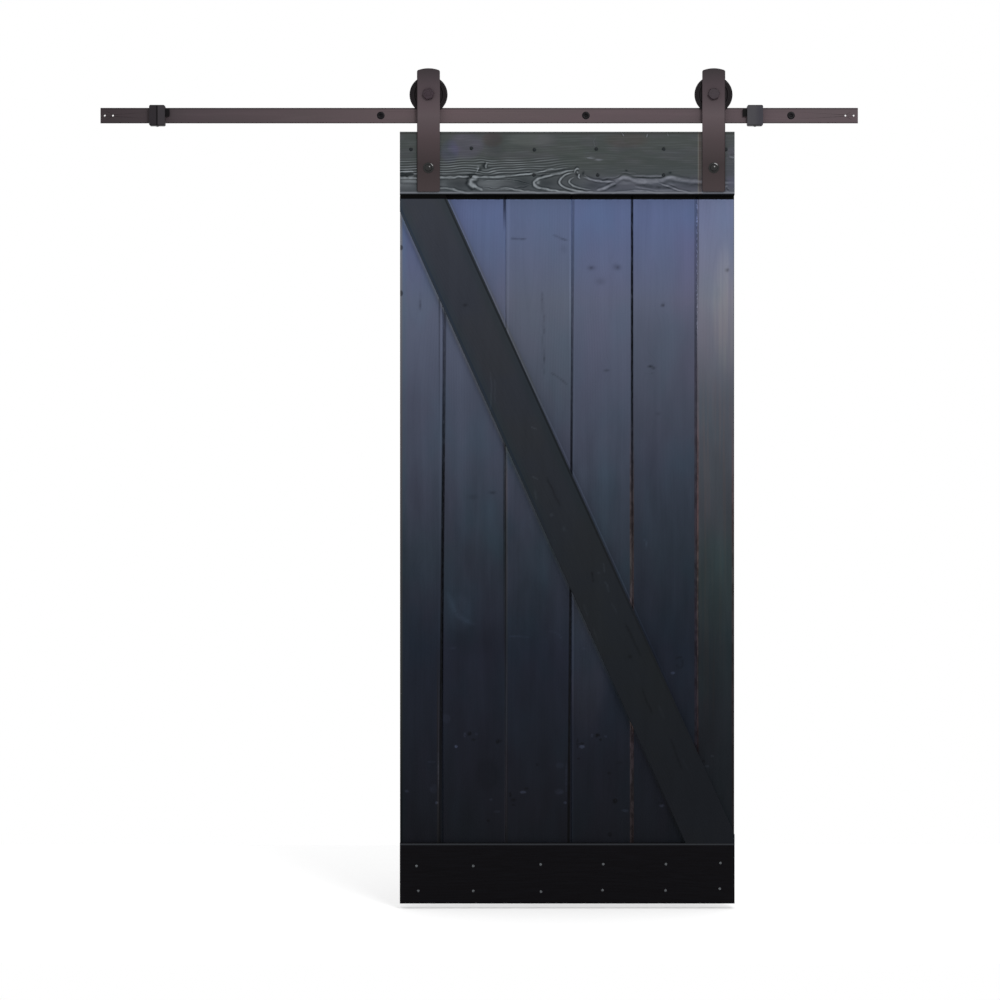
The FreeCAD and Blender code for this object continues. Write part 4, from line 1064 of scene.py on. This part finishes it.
def strap_finish(side):
    """Bronze powder coat with painted shade: a ramp that is palest a little above the middle, painted shade
    at the outer edge, and painted shade on the right one's upper part.
    """
    finish = Finish(f"strap_{side}_bronze", 0.10)
    x, _, z = finish.axes()
    centre = HANGERS[side] * MM
    rise = (z - STRAP_FOOT * MM) / (STRAP_LENGTH * MM)
    # The ramp is the coat's colour with painted shade, palest a little above the middle.
    colour = finish.ramp(rise, (0.03, "41393a"), (0.22, "3a3334"), (0.42, "483f41"), (0.62, "584e51"),
                         (0.86, "4b4246"), (1.0, "393436"))
    tone = finish.noise(11.0, 3.0, (1, 1, 1.5), (HANGERS[side] * MM, 0, 0)).step(0.35, 0.65)
    colour = finish.tint(tone * 0.5, colour, 1.06, 1.0, 1.02)
    # Painted shade on the right strap's upper part.
    if side == "right":
        colour = finish.scaled(colour, 1 - 0.13 * z.step(0.0, 0.05))
    inward = 1 if side == "left" else -1
    outer = STRAP_HALF * MM + (x - centre) * inward
    # Painted shade at the outer edge.
    colour = finish.scaled(colour, 1 - 0.5 * outer.step(0.0032, 0.0008))
    grain, normal = powder(finish)
    return finish.done(colour, 0.40 + 0.12 * grain, normal)


def wheel_finish(side):
    """Moulded black, with the fine turned lines of its mould around the axle."""
    finish = Finish(f"wheel_{side}_black", 0.08)
    x, _, z = finish.axes()
    far_x = x - HANGERS[side] * MM
    far_z = z - AXLE_Z * MM
    radius = finish.math("SQRT", far_x * far_x + far_z * far_z)
    line = (radius * 260.0).fraction()
    grain, normal = powder(finish, 800.0, 0.1)
    colour = finish.blend(line.step(0.3, 0.6) * line.step(1.0, 0.8) * 0.6, "1f1c1e", "2a2829")
    return finish.done(finish.scaled(colour, 0.85 + 0.3 * grain), 0.42 + 0.15 * grain, normal)


def steel_finish():
    """Turned bearing steel."""
    finish = Finish("bearing_steel", 0.5, Metallic=0.9)
    finish.gloss = 0.0
    lines = finish.noise(500.0, 2.0, (1, 0.2, 1))
    return finish.done(finish.blend(lines, "6c6c6c", "8f8f8f"), 0.28 + 0.12 * lines, finish.bump(lines, 0.02))


# Sections of the wheel and of its bearing's ring, as (radius, y).
WHEEL = (
    (8.6, -46), (24, -46), (25, -45.4), (27, -43.9), (37.4, -43.9), (39, -45.5), (39.8, -46), (42.6, -46),
    (43.2, -45.3), (45.4, -45.3), (46, -46), (50.6, -46), (51.6, -45.5), (52, -44.6), (52, -42),
    (51.4, -41.2), (38, -39.3), (36, -39), (35, -38.2), (35, -31.8), (36, -31), (40.2, -30.8), (41, -30),
    (41, -25.2), (40, -24), (38, -24), (37, -25.6), (28, -25.6), (26, -24), (21, -24), (20, -24.6),
    (20, -29), (8.6, -29),
)
RACE = (
    (14.3, -28.9), (14.3, -28.0), (17.2, -28.0), (17.6, -27.4), (17.8, -26.8), (18.2, -26.5), (19.6, -26.5),
    (19.95, -26.9), (19.95, -28.95),
)


def make_hangers():
    """Wheels and bearing races turned from their sections, and bolts whose heads are six-sided with their
    corners turned down at 30 degrees."""
    steel = steel_finish()
    axle = axle_finish()
    fixing = door_bolt_finish()
    make_lag_screws(black_finish("screw_black", "161517", "222023", 0.1))
    make_stop_screws(fixing)
    for side, x in HANGERS.items():
        points, faces = turned(WHEEL, (x, 0, AXLE_Z), 144, ring=True)
        piece(f"roller_{side}", points, faces, f"wheel_{side}", wheel_finish(side), [f"wheel_{side}"])
        points, faces = turned(RACE, (x, 0, AXLE_Z), 96, ring=True)
        piece(f"race_{side}", points, faces, f"wheel_{side}", steel)

        tan = math.tan(math.radians(30))
        six = lambda flats: (lambda a: hexagon(a, flats))
        down = lambda flats, face, sign: (lambda a: face + sign * tan * (hexagon(a, flats) - flats / 2 + 0.9))
        rows = [(4.0, -66.0), (13.6, -66.0), (six(28.4), down(29, -66.0, 1)), (six(29), down(29, -65.6, 1)),
                (six(29), -57.9), (13.6, -57.7), (13.6, -57.0), (8.5, -57.0), (8.5, -28.8), (11.6, -28.8),
                (six(24), down(24, -28.8, 1)), (six(24), down(24, -19.0, -1)), (11.2, -18.8), (8.4, -18.8),
                (8.0, -17.2), (4.0, -17.0)]
        points, faces = turned(rows, (x, 0, AXLE_Z), 96, turn=math.radians(12))
        piece(f"axle_{side}", points, faces, "door", axle, [f"axle_bolt_{side}"])

        dome = [(9.8 * math.sin(t), -60.6 - 5.2 * math.cos(t)) for t in np.linspace(0.12, math.pi / 2, 9)]
        rows = dome + [(9.9, -60.5), (10.8, -60.5), (11.2, -60.2), (11.4, -58.9), (13.4, -58.7),
                       (14.3, -58.3), (14.4, -57.6), (14.2, -57.0), (6.0, -57.0), (6.0, -24.2), (9.0, -24.2),
                       (six(19), -24.0), (six(19), -16.4), (8.8, -16.0), (5.8, -16.0), (5.4, -14.4),
                       (2.0, -14.2)]
        points, faces = turned(rows, (x, 0, BOLT_Z), 96, turn=math.radians(20))
        piece(f"leaf_bolt_{side}", points, faces, "door", fixing, [f"door_bolt_{side}"])

        eased(f"strap_{side}", 0.5, strap_finish(side))
        eased(f"stop_{side}", 0.9, stop_finish(side))
        eased(f"bumper_{side}", 0.8, rubber_finish())
    eased("track", 0.4, rail_finish())


def light_room():
    """White surroundings for the camera, glossy and clear rays, a plain light for the rest, one key lamp, and
    a pale floor that keeps the shadow."""
    world = bpy.data.worlds.new("room")
    bpy.context.scene.world = world
    world.use_nodes = True
    tree = world.node_tree
    ray = tree.nodes.new("ShaderNodeLightPath")
    seen = ray.outputs["Is Camera Ray"]
    for kind in ("Is Glossy Ray", "Is Transmission Ray"):
        either = tree.nodes.new("ShaderNodeMath")
        either.operation = "MAXIMUM"
        tree.links.new(seen, either.inputs[0])
        tree.links.new(ray.outputs[kind], either.inputs[1])
        seen = either.outputs[0]
    level = tree.nodes.new("ShaderNodeMapRange")
    level.inputs["To Min"].default_value = 0.72
    level.inputs["To Max"].default_value = 1.0
    tree.links.new(seen, level.inputs["Value"])
    tree.links.new(level.outputs[0], tree.nodes["Background"].inputs["Strength"])
    tree.nodes["Background"].inputs["Color"].default_value = (1, 1, 1, 1)

    def lamp(name, place, target, size, power):
        data = bpy.data.lights.new(name, "AREA")
        data.shape = "DISK"
        data.size = size
        data.energy = power
        obj = bpy.data.objects.new(name, data)
        bpy.context.scene.collection.objects.link(obj)
        obj.location = place
        aim = np.asarray(target, float) - np.asarray(place, float)
        tilt = math.atan2(aim[2], math.hypot(aim[0], aim[1]))
        obj.rotation_euler = (math.pi / 2 + tilt, 0, math.atan2(aim[1], aim[0]) - math.pi / 2)

    lamp("key", (1.9, -5.8, 2.6), (-0.2, 0, -0.8), 2.2, 175)

    finish = Finish("floor", 0.0, Base_Color=(0.9, 0.9, 0.9, 1), Roughness=0.9, Emission_Strength=1.0)
    camera = finish.node("ShaderNodeLightPath", output="Is Camera Ray")
    glow = finish.blend(camera, (0, 0, 0, 1), (0.36, 0.36, 0.36, 1))
    finish.feed(finish.shader, {"Emission Color": glow})
    mesh = bpy.data.meshes.new("floor")
    corners = [(x, y, FLOOR_Z) for x, y in ((-2.2, -1.1), (1.8, -1.1), (1.8, 1.6), (-2.2, 1.6))]
    mesh.from_pydata(corners, [], [(0, 1, 2, 3)])
    mesh.materials.append(finish.material)
    floor = bpy.data.objects.new("floor", mesh)
    bpy.context.scene.collection.objects.link(floor)


def set_camera():
    """Square to the rail at the photograph's angle, with its width in metres at the straps."""
    data = bpy.data.cameras.new("camera")
    data.sensor_width = 36
    data.lens = data.sensor_width * CAMERA_FAR / PHOTO_WIDTH
    data.clip_end = 60
    camera = bpy.data.objects.new("camera", data)
    bpy.context.scene.collection.objects.link(camera)
    camera.location = (-0.2349, -CAMERA_FAR - 0.05, -1.0515)
    camera.rotation_euler = (math.pi / 2, 0, 0)
    bpy.context.scene.camera = camera


bpy.context.scene.view_settings.view_transform = "Standard"
set_camera()
light_room()
make_boards()
make_front_frame()
make_nails()
make_hangers()
